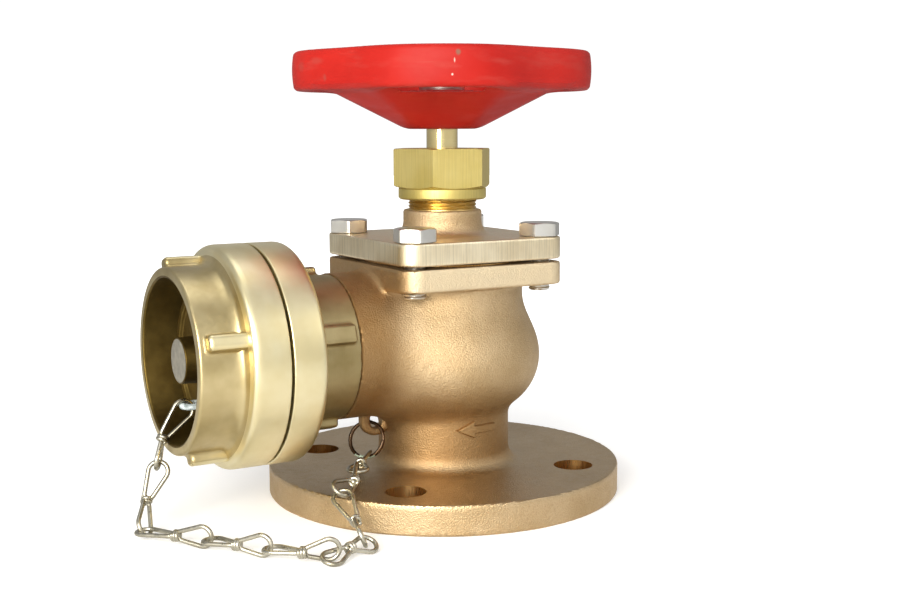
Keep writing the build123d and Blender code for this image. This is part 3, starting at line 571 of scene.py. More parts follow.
even = (1, 1, 1)
ring_brass = metal("satin_turned_brass", "E6DCB6", "DCCEA0", (1, 0.012, 0.012), 0.37, 0.1, 0.05, 0.28)
cast_brass = metal("blasted_cast_brass", "C8B88C", "AC9A6C", even, 0.36, 0.1, 0.15, 1.8)
neck_brass = metal("dull_neck_brass", "A89870", "8E7E56", (0.5, 0.08, 0.08), 0.46)
# The inside of the cap's cup and its disc: as-cast brass, painted dark as the shade in the cup.
cup_brass_painted_shade = metal("cast_brass_painted_shade", "6E5C30", "51411E", even, 0.5, 0.1, 0.3, 2.4)
bar_brass = metal("drawn_hexagon_brass", "D0C07C", "C6B46A", (1, 1, 0.02), 0.5, 0.12, 0.15, 0.7, 0.12)
stem_brass = metal("polished_stem_brass", "E6D49C", "DCC68A", (0.03, 0.03, 1), 0.16, 0.05)
bored_bronze = metal("bored_bronze", "D8B47A", "BE9050", (1, 1, 0.05), 0.3, 0.1, 0.25, 0.9, 0.15)
filed_bronze = metal("filed_bronze", "F0E3C4", "E0D0AE", (1, 1, 0.025), 0.38, 0.16, 0.5, 0.5, 0.22)
thread_bronze = metal("cut_thread_bronze", "CFB478", "BE9E5C", (0.05, 0.05, 1), 0.3)
steel = metal("stainless_steel", "DAD9D4", "CBC9C2", even, 0.32, 0.03, 0.03, 1.6)
wire_zinc = metal("zinc_plated_wire", "BDB9AA", "96907E", (0.3, 0.3, 0.3), 0.32, 0.2, 0.3, 0.8)
wire_brown = metal("browned_wire", "6E5A48", "4A3828", (0.3, 0.3, 0.3), 0.36, 0.2, 0.3, 0.8)

# %% [markdown]
# ## Red enamel on the wheel
#
# The wheel is a cast piece under one coat of red enamel, a little glossy and slightly lumpy.
# In use it meets tools and shelves, so it carries dull rubs and a few chips. The rubs are the
# high values of a noise stretched along the rim, and they are weak, so that red stays red.

# %% Finish: red enamel
CHIPS = [  # middle and reach in metres, and the colour laid bare
    ((-0.0279, -0.0625, 0.2002), (0.0010, 0.0014, 0.0014), "6E5040"),
    ((-0.0294, -0.0618, 0.1967), (0.0003, 0.0012, 0.0011), "D0A69A"),
    ((-0.0302, -0.0614, 0.1911), (0.0004, 0.0012, 0.0005), "D8B8AC"),
    ((-0.0652, 0.0109, 0.1960), (0.0040, 0.0030, 0.0022), "9A2E26"),
    ((-0.0633, -0.0001, 0.1982), (0.0040, 0.0050, 0.0016), "9C3028"),
    ((-0.0618, -0.0056, 0.1911), (0.0030, 0.0012, 0.0018), "94342C"),
    ((-0.0393, -0.0560, 0.1961), (0.0060, 0.0100, 0.0003), "9A2E26"),
]


def red_enamel():
    """Dielectric red of two shades with rubs and a fine orange-peel bump. A chip is an ellipsoid:
    paint is gone where |(P - middle) / reach|, made ragged by noise, is small."""
    material, tree, shader, place = new_finish("red_enamel")
    cloud = add(tree, "ShaderNodeTexNoise", {"Vector": place, "Scale": 1000 / 30, "Detail": 3.0})
    flat = add(tree, "ShaderNodeMapping", {"Vector": place, "Scale": (60, 60, 240)})
    rub = add(tree, "ShaderNodeTexNoise", {"Vector": flat.outputs[0], "Scale": 1.0, "Detail": 6.0})
    peel = add(tree, "ShaderNodeTexNoise", {"Vector": place, "Scale": 1000 / 1.6, "Detail": 1.0})
    shade = add(tree, "ShaderNodeMapRange", {0: cloud.outputs["Fac"], 1: 0.35, 2: 0.65})
    red = add(
        tree, "ShaderNodeMix", {0: shade.outputs[0], 6: linear("98130B"), 7: linear("A51B12")},
        data_type="RGBA",
    )
    worn = add(tree, "ShaderNodeMapRange", {0: rub.outputs["Fac"], 1: 0.52, 2: 0.74, 3: 0.0, 4: 0.35})
    colour = add(
        tree, "ShaderNodeMix", {0: worn.outputs[0], 6: red.outputs[2], 7: linear("A04038")},
        data_type="RGBA",
    )
    for middle, reach, bare_colour in CHIPS:
        away = add(tree, "ShaderNodeVectorMath", {0: place, 1: middle}, operation="SUBTRACT")
        away = add(tree, "ShaderNodeVectorMath", {0: away.outputs[0], 1: reach}, operation="DIVIDE")
        away = add(tree, "ShaderNodeVectorMath", {0: away.outputs[0]}, operation="LENGTH")
        ragged = add(
            tree, "ShaderNodeMath", {0: rub.outputs["Fac"], 1: 1.9, 2: away.outputs["Value"]},
            operation="MULTIPLY_ADD",
        )
        bare = add(
            tree, "ShaderNodeMapRange", {0: ragged.outputs[0], 1: 1.4, 2: 2.1, 3: 0.85, 4: 0.0}
        )
        colour = add(
            tree, "ShaderNodeMix", {0: bare.outputs[0], 6: colour.outputs[2], 7: linear(bare_colour)},
            data_type="RGBA",
        )
    dull = add(
        tree, "ShaderNodeMapRange", {0: rub.outputs["Fac"], 1: 0.35, 2: 0.70, 3: 0.46, 4: 0.64}
    )
    bump = add(
        tree, "ShaderNodeBump", {"Height": peel.outputs["Fac"], "Strength": 0.12, "Distance": 0.0002}
    )
    shader.inputs["Specular IOR Level"].default_value = 0.20
    return fed(material, shader, colour.outputs[2], dull.outputs[0], bump.outputs[0])


enamel = red_enamel()

# %% [markdown]
# ## Soft and grey parts
#
# Rubber seals, fibre gaskets and graphite packing hardly show, but an opened valve has them:
# each is a dark or brown mat whose fine noise stands for its grain or fibres. The face of the
# cap's boss has a dab of dull grey paint. Where water sat, the zinc of the eye has bloomed to a
# pale crust and the foot of the split ring to a green one.

# %% Finish: mats
def mat(name, light, dark, cell, roughness, bump=0.3):
    """Matt surface of two shades: noise of cell millimetres, the same noise as bump."""
    material, tree, shader, place = new_finish(name, roughness=roughness)
    grain = add(tree, "ShaderNodeTexNoise", {"Vector": place, "Scale": 1000 / cell, "Detail": 4.0})
    shade = add(tree, "ShaderNodeMapRange", {0: grain.outputs["Fac"], 1: 0.35, 2: 0.65})
    colour = add(
        tree, "ShaderNodeMix", {0: shade.outputs[0], 6: linear(light), 7: linear(dark)},
        data_type="RGBA",
    )
    rough = add(
        tree, "ShaderNodeBump", {"Height": grain.outputs["Fac"], "Strength": bump, "Distance": 0.0002}
    )
    return fed(material, shader, colour.outputs[2], normal=rough.outputs[0])


rubber = mat("moulded_rubber", "232426", "2E2F31", 1.5, 0.6)
fibre = mat("pressed_fibre", "6E5A43", "574532", 0.9, 0.85)
graphite = mat("braided_graphite", "3A3B3D", "242526", 1.2, 0.45)
grey_paint = mat("dull_grey_paint", "787468", "66635A", 2.5, 0.6)
zinc_bloom = mat("zinc_bloom", "C8D2D4", "76807F", 1.6, 0.7, 0.8)
green_crust = mat("green_crust", "B4C4B2", "6E7F68", 1.3, 0.8, 0.8)

# %% Finishes for the CAD's own pieces
nodes_of = [
    (bronze, "valve_body bonnet"), (fibre, "bonnet_gasket"), (graphite, "stem_packing"),
    (steel, "bonnet_bolts wheel_washer wheel_nut snap_ring"), (enamel, "handwheel"),
    (stem_brass, "gland_follower stem disc_nut"), (bar_brass, "gland_nut"),
    (ring_brass, "valve_disc disc_retainer washer_plate outlet_coupling cap_ring"),
    (rubber, "seat_washer thread_gasket coupling_seal cap_seal"), (cup_brass_painted_shade, "cap_disc"),
    (zinc_bloom, "cap_eye"), (wire_brown, "split_ring"), (wire_zinc, "chain_links"),
]
for finish, nodes in nodes_of:
    for node in nodes.split():
        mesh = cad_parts[node].data
        mesh.materials.clear()
        mesh.materials.append(finish)
    print(finish.name, "on", nodes)

# %% [markdown]
# ## The body casting
#
# One casting holds the base flange, the neck, the globe, the branch and the square flange. Its
# distance function joins those forms with fillets of 3 to 8 mm, wider where the globe meets the
# branch, and takes away the bore, the chamber and the holes, which are cut and so stay crisp.

# %% Body casting
FLANGE_HOLE, BOLT_HOLE = 44.194, 32.5  # hole centres, from the two middle planes


def four_holes(x, y, offset, radius):
    """Distance to the nearest of four round holes at offset from both middle planes."""
    return np.hypot(np.abs(x) - offset, np.abs(y) - offset) - radius


def body_metal(x, y, z):
    """Distance to the body: forms of revolution and plates, softly joined, less its holes and
    what would reach below the floor."""
    r = np.hypot(x, y)
    flange = slab(r, z - 6.75, 82.5, 6.75, 1.3)
    neck = slab(r, z - 30, 30.8, 28, 1)
    globe = np.hypot(np.maximum(r - 18.4, 0), z - 64) - 27
    top = slab(r, z - 86, 37.3, 18, 1)
    q = np.hypot(y, z - OUTLET[2])
    branch = slab(q, x + 29, 33, 29.5, 1.0)
    plate = square_plate(x, y, z, 98.5, 108.5, 1.2)
    shell = blended(blended(neck, globe, 4.5), top, 8)
    shell = blended(blended(shell, branch, 11), flange, 8)
    shell = blended(shell, plate, 3)
    spigot = np.maximum(q - 29.8, np.maximum(x + 50, -76 - x))
    shell = np.minimum(np.minimum(shell, lug(x, y, z)), spigot)
    bore = np.maximum(r - 25, z - 60)
    chamber = np.maximum(np.hypot(np.maximum(r - 18.4, 0), z - 64) - 21.5, 46.4 - z)
    chamber = np.minimum(chamber, np.maximum(r - 31, 70 - z))
    chamber = np.maximum(chamber, -np.maximum(r - 28.5, z - 50))
    outlet = np.maximum(q - 25, np.maximum(x + 28, -90 - x))
    flange_holes = np.maximum(four_holes(x, y, FLANGE_HOLE, 9), z - 20)
    bolt_holes = np.maximum(four_holes(x, y, BOLT_HOLE, 5.1), 96.5 - z)
    holes = np.minimum(flange_holes, bolt_holes)
    gone = np.minimum(np.minimum(bore, chamber), np.minimum(outlet, holes))
    return np.maximum(np.maximum(shell, -gone), -z)


def lug(x, y, z):
    """Distance to the chain lug: a plate under the branch, rounded below, with a long hole."""
    plate = slab(x + 36.5, z - 38.5, 7.7, 9.6, 7.0)
    hole = slab(x + 36.5, z - 36.1, 3.2, 3.8, 3.15)
    outline = np.maximum(plate, -hole)
    return slice_of(outline, y, 2.3, 1.4)


def flow_arrow():
    """A raised arrow on the neck: a patch of its cylinder that stands 1.4 mm proud inside the
    arrow's outline and sinks under the skin round it."""
    neck_r, columns, rows = 30.8, 185, 81
    s, z = np.meshgrid(np.linspace(-12, 11, columns), np.linspace(-5, 5, rows))
    head = np.maximum(np.abs(z) - 0.46 * (s + 11.0), s + 2.0)
    shaft = np.maximum(np.abs(z) - 1.9, np.maximum(s - 9.5, -5 - s))
    edge = np.clip(0.5 - np.minimum(head, shaft) / 1.1, 0, 1)
    r = 30.0 + 2.2 * edge * edge * (3 - 2 * edge)
    u = math.radians(-89) + s / neck_r
    points = np.stack([r * np.cos(u), r * np.sin(u), 33.2 + z], -1).reshape(-1, 3)
    return points, grid_faces(rows, columns, close_columns=False), 0


points, faces = skin(body_metal, (-86, -86, -3), (86, 86, 112), 1.2)
x, y, z = points[faces].mean(1).T
cut = (four_holes(x, y, FLANGE_HOLE, 9.05) < 0) & (z < 13.4)
cut |= (np.hypot(x, y) < 25.1) & (z < 50)
joint_lip = soft_corners([(31.2, 108.2), (36.4, 108.2), (36.4, 109.1), (31.2, 109.1)], 0.15)
make_piece(
    "body_casting",
    [(points, faces, cut.astype(int)), flow_arrow(), turned(joint_lip, mark=1)],
    [bronze, bored_bronze], "valve", ["valve_body"],
)
make_piece(
    "joint_gasket", [turned([(31.4, 109.1), (36.0, 109.1), (36.0, 109.5), (31.4, 109.5)])],
    [fibre], "valve", ["bonnet_gasket"],
)

# %% [markdown]
# ## The bonnet casting
#
# The bonnet is a second, smaller casting: a square plate with a round boss in the middle. Its
# four sides were dressed with a file, which left upright strokes, so they get their own finish.
# The joint face and the neck with the gland thread are turned, and are added as turned shapes.

# %% Bonnet casting
def bonnet_metal(x, y, z):
    """Distance to the bonnet's plate and boss, with a fillet between, less the bores."""
    r = np.hypot(x, y)
    plate = square_plate(x, y, z, 110.1, 120.1, 1.1)
    boss = slab(r, z - 121, 18.25, 10.8, 1.2)
    gone = np.minimum(four_holes(x, y, BOLT_HOLE, 5.5), r - 15)
    return np.maximum(blended(plate, boss, 7), -gone)


points, faces = skin(bonnet_metal, (-44, -44, 108), (44, 44, 134), 0.8)
x, y, z = points[faces].mean(1).T
filed = slab(x, y, SQUARE_HALF, SQUARE_HALF, SQUARE_CORNER) > -0.6
filed &= (np.maximum(np.abs(x), np.abs(y)) > 33) & (np.abs(z - 115.1) < 4.6)
neck_rows = np.concatenate([
    [(11.5, 131.0)], [(16.0, height) for height in np.arange(131.0, 139.2, 0.12)],
    [(16, 151.2), (15.4, 151.8), (11.5, 151.8)],
])
hub_outline = soft_corners([
    (8.2, 99.1), (14, 99.1), (14, 106.5), (30.9, 106.5), (30.9, 109.5), (36.5, 109.5),
    (36.5, 110.6), (8.2, 110.6)], 0.3)
bore_outline = [
    (8.2, 111), (15.5, 111), (15.5, 131.6), (11.5, 131.6), (11.5, 130.1), (7.4, 130.1),
    (7.4, 126.1), (8.2, 126.1),
]
make_piece(
    "bonnet_casting",
    [
        (points, faces, filed.astype(int)),
        turned(neck_rows, 128, shape=thread(16.0, 0.8, 1.5, 131.9, 138.6), mark=2),
        turned(hub_outline, mark=3),
        turned(bore_outline, mark=3),
    ],
    [bronze, filed_bronze, thread_bronze, bored_bronze], "valve", ["bonnet"],
)

# %% [markdown]
# ## Bonnet bolts
#
# Four stainless hexagon bolts hold the bonnet down. The bevel on top is a cone of 20 degrees
# that meets the six flats in curved lines. Under the lower flange the last two threads show.

# %% Bolts
def bolt(x, y, turn_degrees):
    """One bolt: a trimmed cone and bar for the head, and a threaded shank below it."""
    foot = [(0, 120.15), (8.0, 120.15), (8.35, 120.5), (9.9, 120.5), (9.9, 125.8)]
    head = np.concatenate([
        soft_corners(foot, 0.12, closed=False)[:16], np.linspace((9.82, 120.9), (9.82, 125.7), 3),
        np.linspace((9.82, 125.83), (8.1, 126.46), 12), [(7.8, 126.5), (0, 126.5)],
    ])
    cap = turned(head, 72, closed=False, shape=hexagon(17.0, turn_degrees))
    rows = [(5.0, z) for z in np.arange(96.1, 110.4, 0.16)]
    rows = [(0, 95.4), (4.2, 95.4)] + rows + [(5.0, 120.4), (0, 120.4)]
    shank = turned(rows, 40, closed=False, shape=thread(5.0, 0.55, 1.5, 95.8, 110.5))
    return [(p + (x, y, 0), f, m) for p, f, m in (cap, shank)]


bolt_turns = {(-1, -1): 17.4, (-1, 1): 3.3, (1, -1): 43.6, (1, 1): 0.0}
bolt_shapes = []
for (i, j), turn_degrees in bolt_turns.items():
    bolt_shapes += bolt(i * BOLT_HOLE, j * BOLT_HOLE, turn_degrees)
make_piece("hexagon_bolts", bolt_shapes, [steel], "valve", ["bonnet_bolts"])

# %% [markdown]
# ## Gland nut and stem
#
# The gland nut is cut from hexagon bar: the six flats keep the bar's drawn lines, and the lower
# end is turned down to a collar. It presses the packing against the stem, which slides in it.

# %% Gland nut and stem
def gland_shapes():
    """Collar and hexagon as one outline, trimmed to the flats above the collar."""
    outline = soft_corners(
        [(16.1, 136.6), (19.5, 136.6), (20.4, 137.4), (20.4, 141.5), (19.9, 141.9),
         (21.0, 142.1)], 0.3, closed=False)
    rows = np.concatenate([
        outline, np.linspace((21.0, 142.1), (23.7, 143.1), 10),
        np.linspace((23.7, 144.0), (23.7, 159.3), 4), np.linspace((23.5, 159.6), (22.6, 159.9), 4),
        [(7.6, 159.9), (7.35, 159.6), (7.35, 152.4), (16.1, 152.4)],
    ])
    trim = hexagon(41.0, 50.0)
    return turned(rows, 144, shape=lambda u, r, z: np.where(z > 142.0, trim(u, r, z), r))


make_piece("gland_nut_bar", [gland_shapes()], [bar_brass], "valve", ["gland_nut"])

# %% [markdown]
# ## The handwheel
#
# The wheel is cast in one piece: a rim with four lobes for the fingers, carried by a web that is
# an upside-down pyramid standing on its point, the hub. The pyramid's corners are cut off, and
# there it runs up into the rim; between its broad sides and the rim there is room for fingers.
# Like the body, it is described by distance, so that the web's corners flow into the rim.

# %% Handwheel
LOBE_ANGLE = math.radians(60)


def rim_radius(u):
    """Outer radius of the rim at angle u: 60.9 mm in the four valleys, 7.6 mm more on the lobes,
    60.9 + 7.6 (1 - (1 - w)^1.35) with w = (1 + cos 4(u - 60)) / 2, which makes the lobes broad."""
    w = 0.5 + 0.5 * np.cos(4 * (u - LOBE_ANGLE))
    return 60.9 + 7.6 * (1 - (1 - w) ** 1.35)


def wheel_metal(x, y, z):
    """Distance to the lobed rim, the web, a 3.2 mm shell of an upside-down pyramid with four broad
    sides and four narrow ones, and the boss that sits on the stem."""
    r, u = np.hypot(x, y), np.arctan2(y, x)
    outside = rim_radius(u)
    lean = np.hypot(1, (rim_radius(u + 0.01) - rim_radius(u - 0.01)) / 0.02 / outside)
    across = (r - outside + 4.0) / lean
    height = z - 194.9
    barrel = across + 0.9 * (height / 8.8) ** 2 * (across > 0)
    rim = slab(barrel, height, 4.0, 8.8, 1.9)
    c, s = math.cos(LOBE_ANGLE), math.sin(LOBE_ANGLE)
    a, b = np.abs(x * c + y * s), np.abs(y * c - x * s)
    rise = z - 168.8
    broad = (np.maximum(a, b) - (16.6 + 1.941 * rise)) / 2.183
    narrow = ((a + b) - (27.2 + 3.0 * rise)) / 1.414 / 2.345
    outer = -blended(-broad, -narrow, 1.1)
    shell = np.maximum(outer, np.minimum(-(outer + 3.2), z - 173.8))
    dip = np.clip((np.minimum(a, b) - 17) / 5, 0, 1)
    shell = np.maximum(shell, z - (184.9 + 3.1 * dip * dip * (3 - 2 * dip)))
    hub = slab(r, z - 177.55, 15.0, 8.75, 0.8)
    web = -blended(-blended(shell, hub, 3), -(168.8 - z), 1.5)
    square = np.maximum(a, b) - 5.35
    return np.maximum(blended(web, rim, 3), -square)


points, faces = skin(wheel_metal, (-72, -72, 166), (72, 72, 206), 1.0)
make_piece(
    "handwheel_casting", [(points, faces, 0)], [enamel], "spindle", ["handwheel"],
    sharp=40,
)

# %% [markdown]
# ## Stem, washer and wheel nut
#
# The stem is turned from brass bar. Above the wheel it ends in a stud with a plain washer and a
# hexagon nut, both of stainless steel.

# %% Stem, washer, nut
stem_low, stem_high = (corner[2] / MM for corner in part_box("stem"))
print("stem from", round(stem_low, 1), "to", round(stem_high, 1), "mm")
collar_top, stud_low = stem_low + 4, 185.6
stem_rows = np.concatenate([
    [(0, stem_low), (10, stem_low), (10, collar_top), (8, collar_top), (8, 110.0), (7.25, 110.6)],
    np.linspace((7.25, 110.7), (7.25, 168.8), 6),
    [(5.25, 168.9), (5.25, 185.2), (5.0, 185.4)],
    [(5.0, height) for height in np.arange(stud_low, stem_high - 0.4, 0.16)],
    [(4.6, stem_high - 0.1), (4.3, stem_high), (0, stem_high)],
])
stud_thread = thread(5.0, 0.5, 1.5, stud_low, stem_high)
make_piece(
    "stem_bar", [turned(stem_rows, 64, closed=False, shape=stud_thread)],
    [stem_brass], "spindle", ["stem"],
)
washer = soft_corners([(5.2, 186.3), (10.5, 186.3), (10.5, 188.08), (5.2, 188.08)], 0.35)
make_piece(
    "plain_washer", [turned(washer, 64)], [steel], "spindle", ["wheel_washer"]
)
nut_rows = np.concatenate([
    [(5.15, 188.15)], np.linspace((7.9, 188.15), (9.85, 189.3), 8),
    np.linspace((9.85, 189.8), (9.85, 194.4), 3), np.linspace((9.85, 194.95), (7.9, 196.1), 8),
    [(5.4, 196.1), (5.15, 195.8)],
])
make_piece(
    "wheel_nut_hexagon", [turned(nut_rows, 72, shape=hexagon(17.0, 72.0))],
    [steel], "spindle", ["wheel_nut"],
)

# %% [markdown]
# ## The outlet coupling
#
# The coupling screws onto the branch. Its neck is cast, with four ribs for a spanner, and its
# ring is turned all over. Behind the ring's face a channel and two hooked claws take the claws
# of a hose coupling, here those of the cap.

# %% Coupling
RIB_ANGLE = math.radians(-18)
CLAW_HALF_ANGLE = math.radians(14)


def ribbed_tube(x, y, z, radius, tube, ribs, rib_high, half=4.0, edge=1.6):
    """Distance to a tube on the outlet's axis with four ribs, and to that axis. tube and ribs say
    where each starts and ends along x. A rib is a rounded bar, made four by folding the angle."""
    height = z - OUTLET[2]
    q, u = np.hypot(y, height), np.arctan2(height, y) - RIB_ANGLE
    fold = (u + np.pi / 4) % (np.pi / 2) - np.pi / 4
    rib = slab(q * np.sin(fold), q * np.cos(fold) - radius, half, rib_high, edge)
    rib = slice_of(rib, x - (ribs[0] + ribs[1]) / 2, (ribs[1] - ribs[0]) / 2, 1.6)
    pipe = slab(q, x - (tube[0] + tube[1]) / 2, radius, (tube[1] - tube[0]) / 2, 0.6)
    return blended(pipe, rib, 2.2), q


def claw(x, y, z, side, turned_by):
    """Distance to a pair of hooked claws: two rectangles of (distance from mid-plane, radius),
    cut to 14 degrees either side of turned_by."""
    height = z - OUTLET[2]
    q, u = np.hypot(y, height), np.arctan2(height, y) - math.radians(turned_by)
    fold = np.abs((u + np.pi / 2) % np.pi - np.pi / 2)
    away = side * (x - OUTLET[0])
    bar = slab(away - 1.5, q - 37.5, 10.5, 2.0, 0.3)
    hook = slab(away + 7.1, q - 39.5, 2.1, 4.0, 0.3)
    return np.maximum(np.minimum(bar, hook), q * np.sin(fold) - 37.5 * math.sin(CLAW_HALF_ANGLE))


def coupling_neck(x, y, z):
    """Distance to the neck with its ribs and claws, less the bore."""
    tube, q = ribbed_tube(x, y, z, 32.5, (-83.0, -58.8), (-83.5, -61.5), 4.0)
    gone = np.minimum(np.maximum(q - 26, x + 74), np.maximum(q - 29.9, -76 - x))
    return np.minimum(np.maximum(tube, -gone), claw(x, y, z, 1, 0))


# what both rings have: (radius, distance from the mid-plane) of corners, and how round each is
TWIN = [
    (35.1, 0.6), (35.1, 12.6), (43.9, 12.6), (43.9, 4.6), (39.9, 4.6), (39.9, 0.6), (48.5, 0.6),
    (48.5, 16.2)]
TWIN_ROUND = [0.2, 0.1, 0.1, 0.2, 0.3, 0.4, 0.7, 3.5]

points, faces = skin(coupling_neck, (-108, -46, 24), (-57, 46, 120), 0.85)
ring_outline = soft_corners(
    [(26, 0.6), (28.4, 0.6), (28.4, 5.0), (33.1, 5.0), (33.1, 0.6), *TWIN, (26, 16.2)],
    [0.3, 0.2, 0.1, 0.1, 0.2, *TWIN_ROUND, 0.2], steps=7)
make_piece(
    "coupling_half", [(points, faces, 1), turned(ring_outline, 192, outlet=1)],
    [ring_brass, neck_brass], "valve", ["outlet_coupling"],
)

# %% [markdown]
# ## The blank cap
#
# The cap's ring is the twin of the coupling's. In front of it stands a cast skirt with four ribs
# of its own, left as cast inside. Within the ring sits a loose disc with a rim and a round boss,
# which holds the seal and the eye of the chain and stays still while the ring turns. The inside
# of the skirt and the disc are a dark as-cast brass, painted darker as the shade in the cup.

# %% Cap ring
def cap_ribs(x, y, z):
    """Distance to the ribs with their fillets, hollow inside, and to the claws."""
    tube, q = ribbed_tube(x, y, z, 39.85, (-131.5, -113.6), (-130.2, -112.0), 5.0, 3.5, 2.6)
    return np.minimum(np.maximum(tube, 38.0 - q), claw(x, y, z, -1, 129))


points, faces = skin(cap_ribs, (-134, -48, 22), (-86, 48, 122), 0.7)
_, y, z = points[faces].mean(1).T
rubbed = np.hypot(y, z - OUTLET[2]) > 43.9
cap_outline = soft_corners(
    [(33.6, 0.6), *TWIN, (44.4, 16.9), (40.0, 18.4), (40.0, 36.3), (35.5, 36.3), (35.5, 16.2),
     (30.1, 16.2), (30.1, 12.6), (33.6, 12.6)],
    [0.2, *TWIN_ROUND, 1.2, 4.5, 1.3, 0.9, 0.6, 0.3, 0.2, 0.1], steps=7)
tube_points, tube_faces, _ = turned(cap_outline, 192, outlet=-1)
x, y, z = tube_points[tube_faces].mean(1).T
q, away = np.hypot(y, z - OUTLET[2]), OUTLET[0] - x
outside = (away > 17.0) & (q > 37)
# Inside the skirt: the dark brass that paints the shade in the cup.
inside = (away > 16.1) & (q < 36.6)
make_piece(
    "cap_ring_half",
    [(points, faces, 1 - rubbed), (tube_points, tube_faces, outside + 2 * inside)],
    [ring_brass, cast_brass, cup_brass_painted_shade], "cap", ["cap_ring"],
)

# %% Cap disc
disc_outline = soft_corners(
    [(0, 1.0), (28.4, 1.0), (28.4, 5.0), (33.1, 5.0), (33.1, 1.0), (33.5, 1.0), (33.5, 12.5),
     (30, 12.5), (30, 22.5), (27, 22.5), (26.6, 20.9), (10.2, 20.9), (9.9, 31.9), (0, 31.9)],
    0.5, closed=False, steps=5)
painted = soft_corners([(0, 31.7), (9.3, 31.7), (9.3, 31.95), (0, 31.95)], 0.15, closed=False)
make_piece(
    "cap_disc_turned",
    [turned(disc_outline, 128, closed=False, outlet=-1),
     turned(painted, 64, closed=False, outlet=-1, mark=1)],
    [cup_brass_painted_shade, grey_paint], "valve", ["cap_disc"],
)

# %% [markdown]
# ## Chain, split ring and eye
#
# Each link of the chain is one round wire with a wide loop at both ends, its tails wound twice
# round the middle. So a link is two flat loops and a short coil. A loop's line is two arcs and
# two straights, and a small circle is carried along it. For a flat loop the circle's frame is
# simply the loop's own plane, so nothing has to be tracked along it.

# %% Bent wire
def unit(v):
    """Vector, or each row of vectors, made one long."""
    return v / np.linalg.norm(v, axis=-1, keepdims=True)


def wire(line, across, radius, closed=True):
    """Tube round a line: P + radius (cos v N + sin v B), where B is across made square to the
    line's direction T, and N = B x T. Open ends are closed with a small dome."""
    sides = 12
    ahead, behind = np.roll(line, -1, 0), np.roll(line, 1, 0)
    if not closed:
        ahead[-1], behind[0] = line[-1], line[0]
    along, size = unit(ahead - behind), np.ones(len(line))
    if not closed:
        dome, out = np.array([0.0, 0.5, 0.87]), radius * np.array([[1.0], [0.87], [0.5]])
        line = np.concatenate([line[0] - along[0] * out, line, line[-1] + along[-1] * out[::-1]])
        size = np.concatenate([dome, size, dome[::-1]])
        along = np.pad(along, ((3, 3), (0, 0)), "edge")
    b = unit(across - along * (along @ across)[:, None])
    n = np.cross(b, along)
    v = np.linspace(0, 2 * np.pi, sides, endpoint=False)[None, :, None]
    ring = (np.cos(v) * n[:, None] + np.sin(v) * b[:, None]) * (radius * size)[:, None, None]
    points = (line[:, None] + ring).reshape(-1, 3)
    return points, grid_faces(len(line), sides, close_rows=closed)[:, ::-1], 0


def arc(centre, a, b, radius, start, end, count):
    """Points centre + radius (cos w a + sin w b) for count angles w from start to end."""
    w = np.linspace(start, end, count)[:, None]
    return centre + radius * (np.cos(w) * a + np.sin(w) * b)


WIDE_R, TIGHT_R = 4.2, 2.0  # the two arcs of a link's loop


def link_loop(knot, tip, spread):
    """Flat loop from a knot to a tip: a wide arc at the tip, a tight one 0.8 mm off the knot, and
    the two straights that touch both. spread sets which way it lies flat."""
    along = unit(tip - knot)
    side = unit(spread - along * (spread @ along))
    near, far = TIGHT_R + 0.8, np.linalg.norm(tip - knot) - WIDE_R
    turn = math.pi / 2 + math.asin((WIDE_R - TIGHT_R) / (far - near))
    wide = arc(knot + along * far, along, side, WIDE_R, -turn, turn, 26)
    tight = arc(knot + along * near, along, side, TIGHT_R, turn, 2 * math.pi - turn, 14)
    down = np.linspace(wide[-1], tight[0], 7)[1:-1]
    back = np.linspace(tight[-1], wide[0], 7)[1:-1]
    return wire(np.concatenate([wide, down, tight, back]), np.cross(along, side), 0.95)


def coil(centre, along, radius, length, turns, wire_radius):
    """Tube round a helix: centre + radius (cos w A + sin w B), climbing by length along it."""
    along = unit(along)
    a = unit(np.cross(along, (0.31, 0.22, 0.93)))
    b = np.cross(along, a)
    line = arc(centre, a, b, radius, 0, 2 * np.pi * turns, int(22 * turns))
    line = line + along * np.linspace(-0.5, 0.5, len(line))[:, None] * length
    return wire(line, along, wire_radius, closed=False)


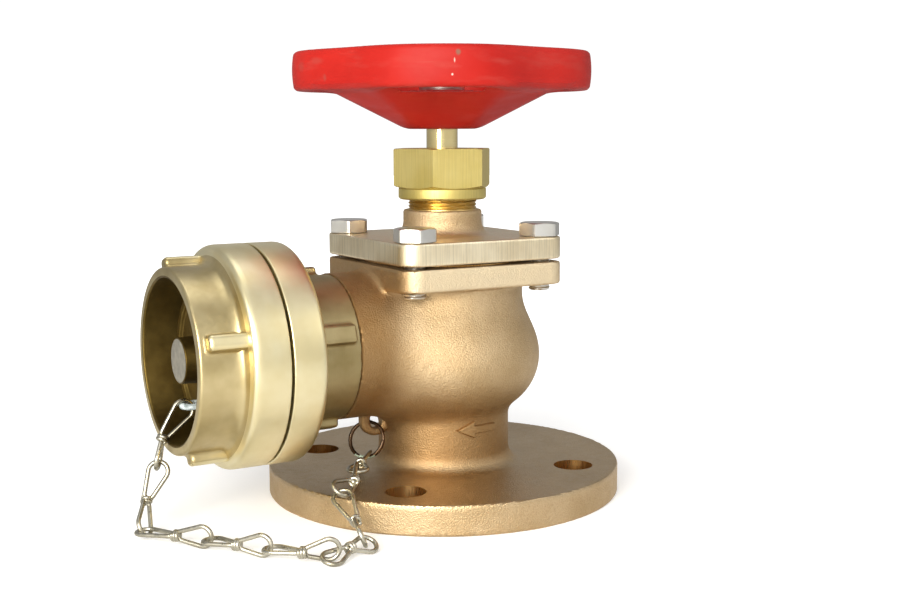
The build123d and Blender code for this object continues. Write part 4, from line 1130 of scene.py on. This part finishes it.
# %% Chain
upright = (0, 0, 1)
links = [  # tip, knot, tip, and the way that each loop spreads
    ((-123.2, 5.0, 52.6), (-135.8, 4.5, 38.4), (-138.9, 3.4, 25.8),
     (0.75, -0.1, -0.65), (0.5, 0.86, 0)),
    ((-136.8, 2.8, 28.5), (-144.4, 1.2, 13.4), (-149.8, -11.4, 2.8),
     (0.86, -0.5, 0), (0.7, 0.34, -0.59)),
    ((-151.1, -8.7, 3.6), (-140.6, -25.4, 4.5), (-129.9, -37.4, 5.5),
     (0.85, 0.53, 0), upright),
    ((-131.4, -34.6, 3.7), (-123.4, -49.2, 4.5), (-113.4, -60.2, 5.5),
     (0.88, 0.48, 0), upright),
    ((-114.8, -57.4, 3.7), (-104.9, -71.6, 4.5), (-91.4, -76.8, 5.5),
     (0.82, 0.57, 0), upright),
    ((-99.0, -80.0, 2.0), (-85.6, -74.2, 3.8), (-73.2, -71.6, 3.2),
     (0.3, 0.9, 0.3), (0.2, 0.6, 0.3)),
    ((-78.6, -72.3, 4.8), (-74.3, -56.2, 8.5), (-73.6, -39.6, 16.8),
     (0.3, 0.1, -0.6), (0.9, -0.2, 0.3)),
    ((-75.6, -41.2, 17.4), (-63.2, -32.6, 18.0), (-55.4, -19.7, 19.2),
     (-0.4, 0.55, 0.55), upright),
    ((-56.7, -21.5, 18.7), (-49.4, -11.0, 19.4), (-41.4, -0.2, 18.9),
     (0.84, -0.54, 0), (0.5, -0.35, 0.75)),
]
link_shapes = []
for row in links:
    first_tip, knot, last_tip, first_spread, last_spread = np.array(row, float)
    link_shapes += [
        link_loop(knot, first_tip, first_spread), link_loop(knot, last_tip, last_spread),
        coil(knot, last_tip - first_tip, 1.75, 2.6, 2.2, 0.85),
    ]
make_piece("knotted_chain", link_shapes, [wire_zinc], "valve", ["chain_links"])

# %% Split ring and eye
lean, twist = math.radians(26), math.radians(53)
hang = np.array([math.sin(lean), 0, math.cos(lean)])
level = np.array([hang[2], 0, -hang[0]])
ring_side = level * math.cos(twist) - np.array([0, 1, 0]) * math.sin(twist)
ring_axis = np.cross(hang, ring_side)
ring_centre = np.array([-36.5, 0, 35.7]) - hang * 9.7
points, faces, _ = coil(ring_centre, ring_axis, 8.3, 1.4, 1.9, 0.78)
crusted = points[faces].mean(1)[:, 2] < ring_centre[2] - 6.6
make_piece(
    "split_ring_coil", [(points, faces, crusted.astype(int))],
    [wire_brown, green_crust], "valve", ["split_ring"],
)
middle, down, out = np.array([(-122.4, 5.0, 51.2), (0, -1, 0), (-1, 0, 0)])
staple = np.concatenate([
    [(-117.2, 1.2, 51.2), (-120, 1.2, 51.2)], arc(middle, down, out, 3.8, 0, math.pi, 18),
    [(-120, 8.8, 51.2), (-117.2, 8.8, 51.2)],
])
eye = wire(staple, (0, 0, 1), 1.4, closed=False)
make_piece("eye_staple", [eye], [zinc_bloom], "valve", ["cap_eye"])
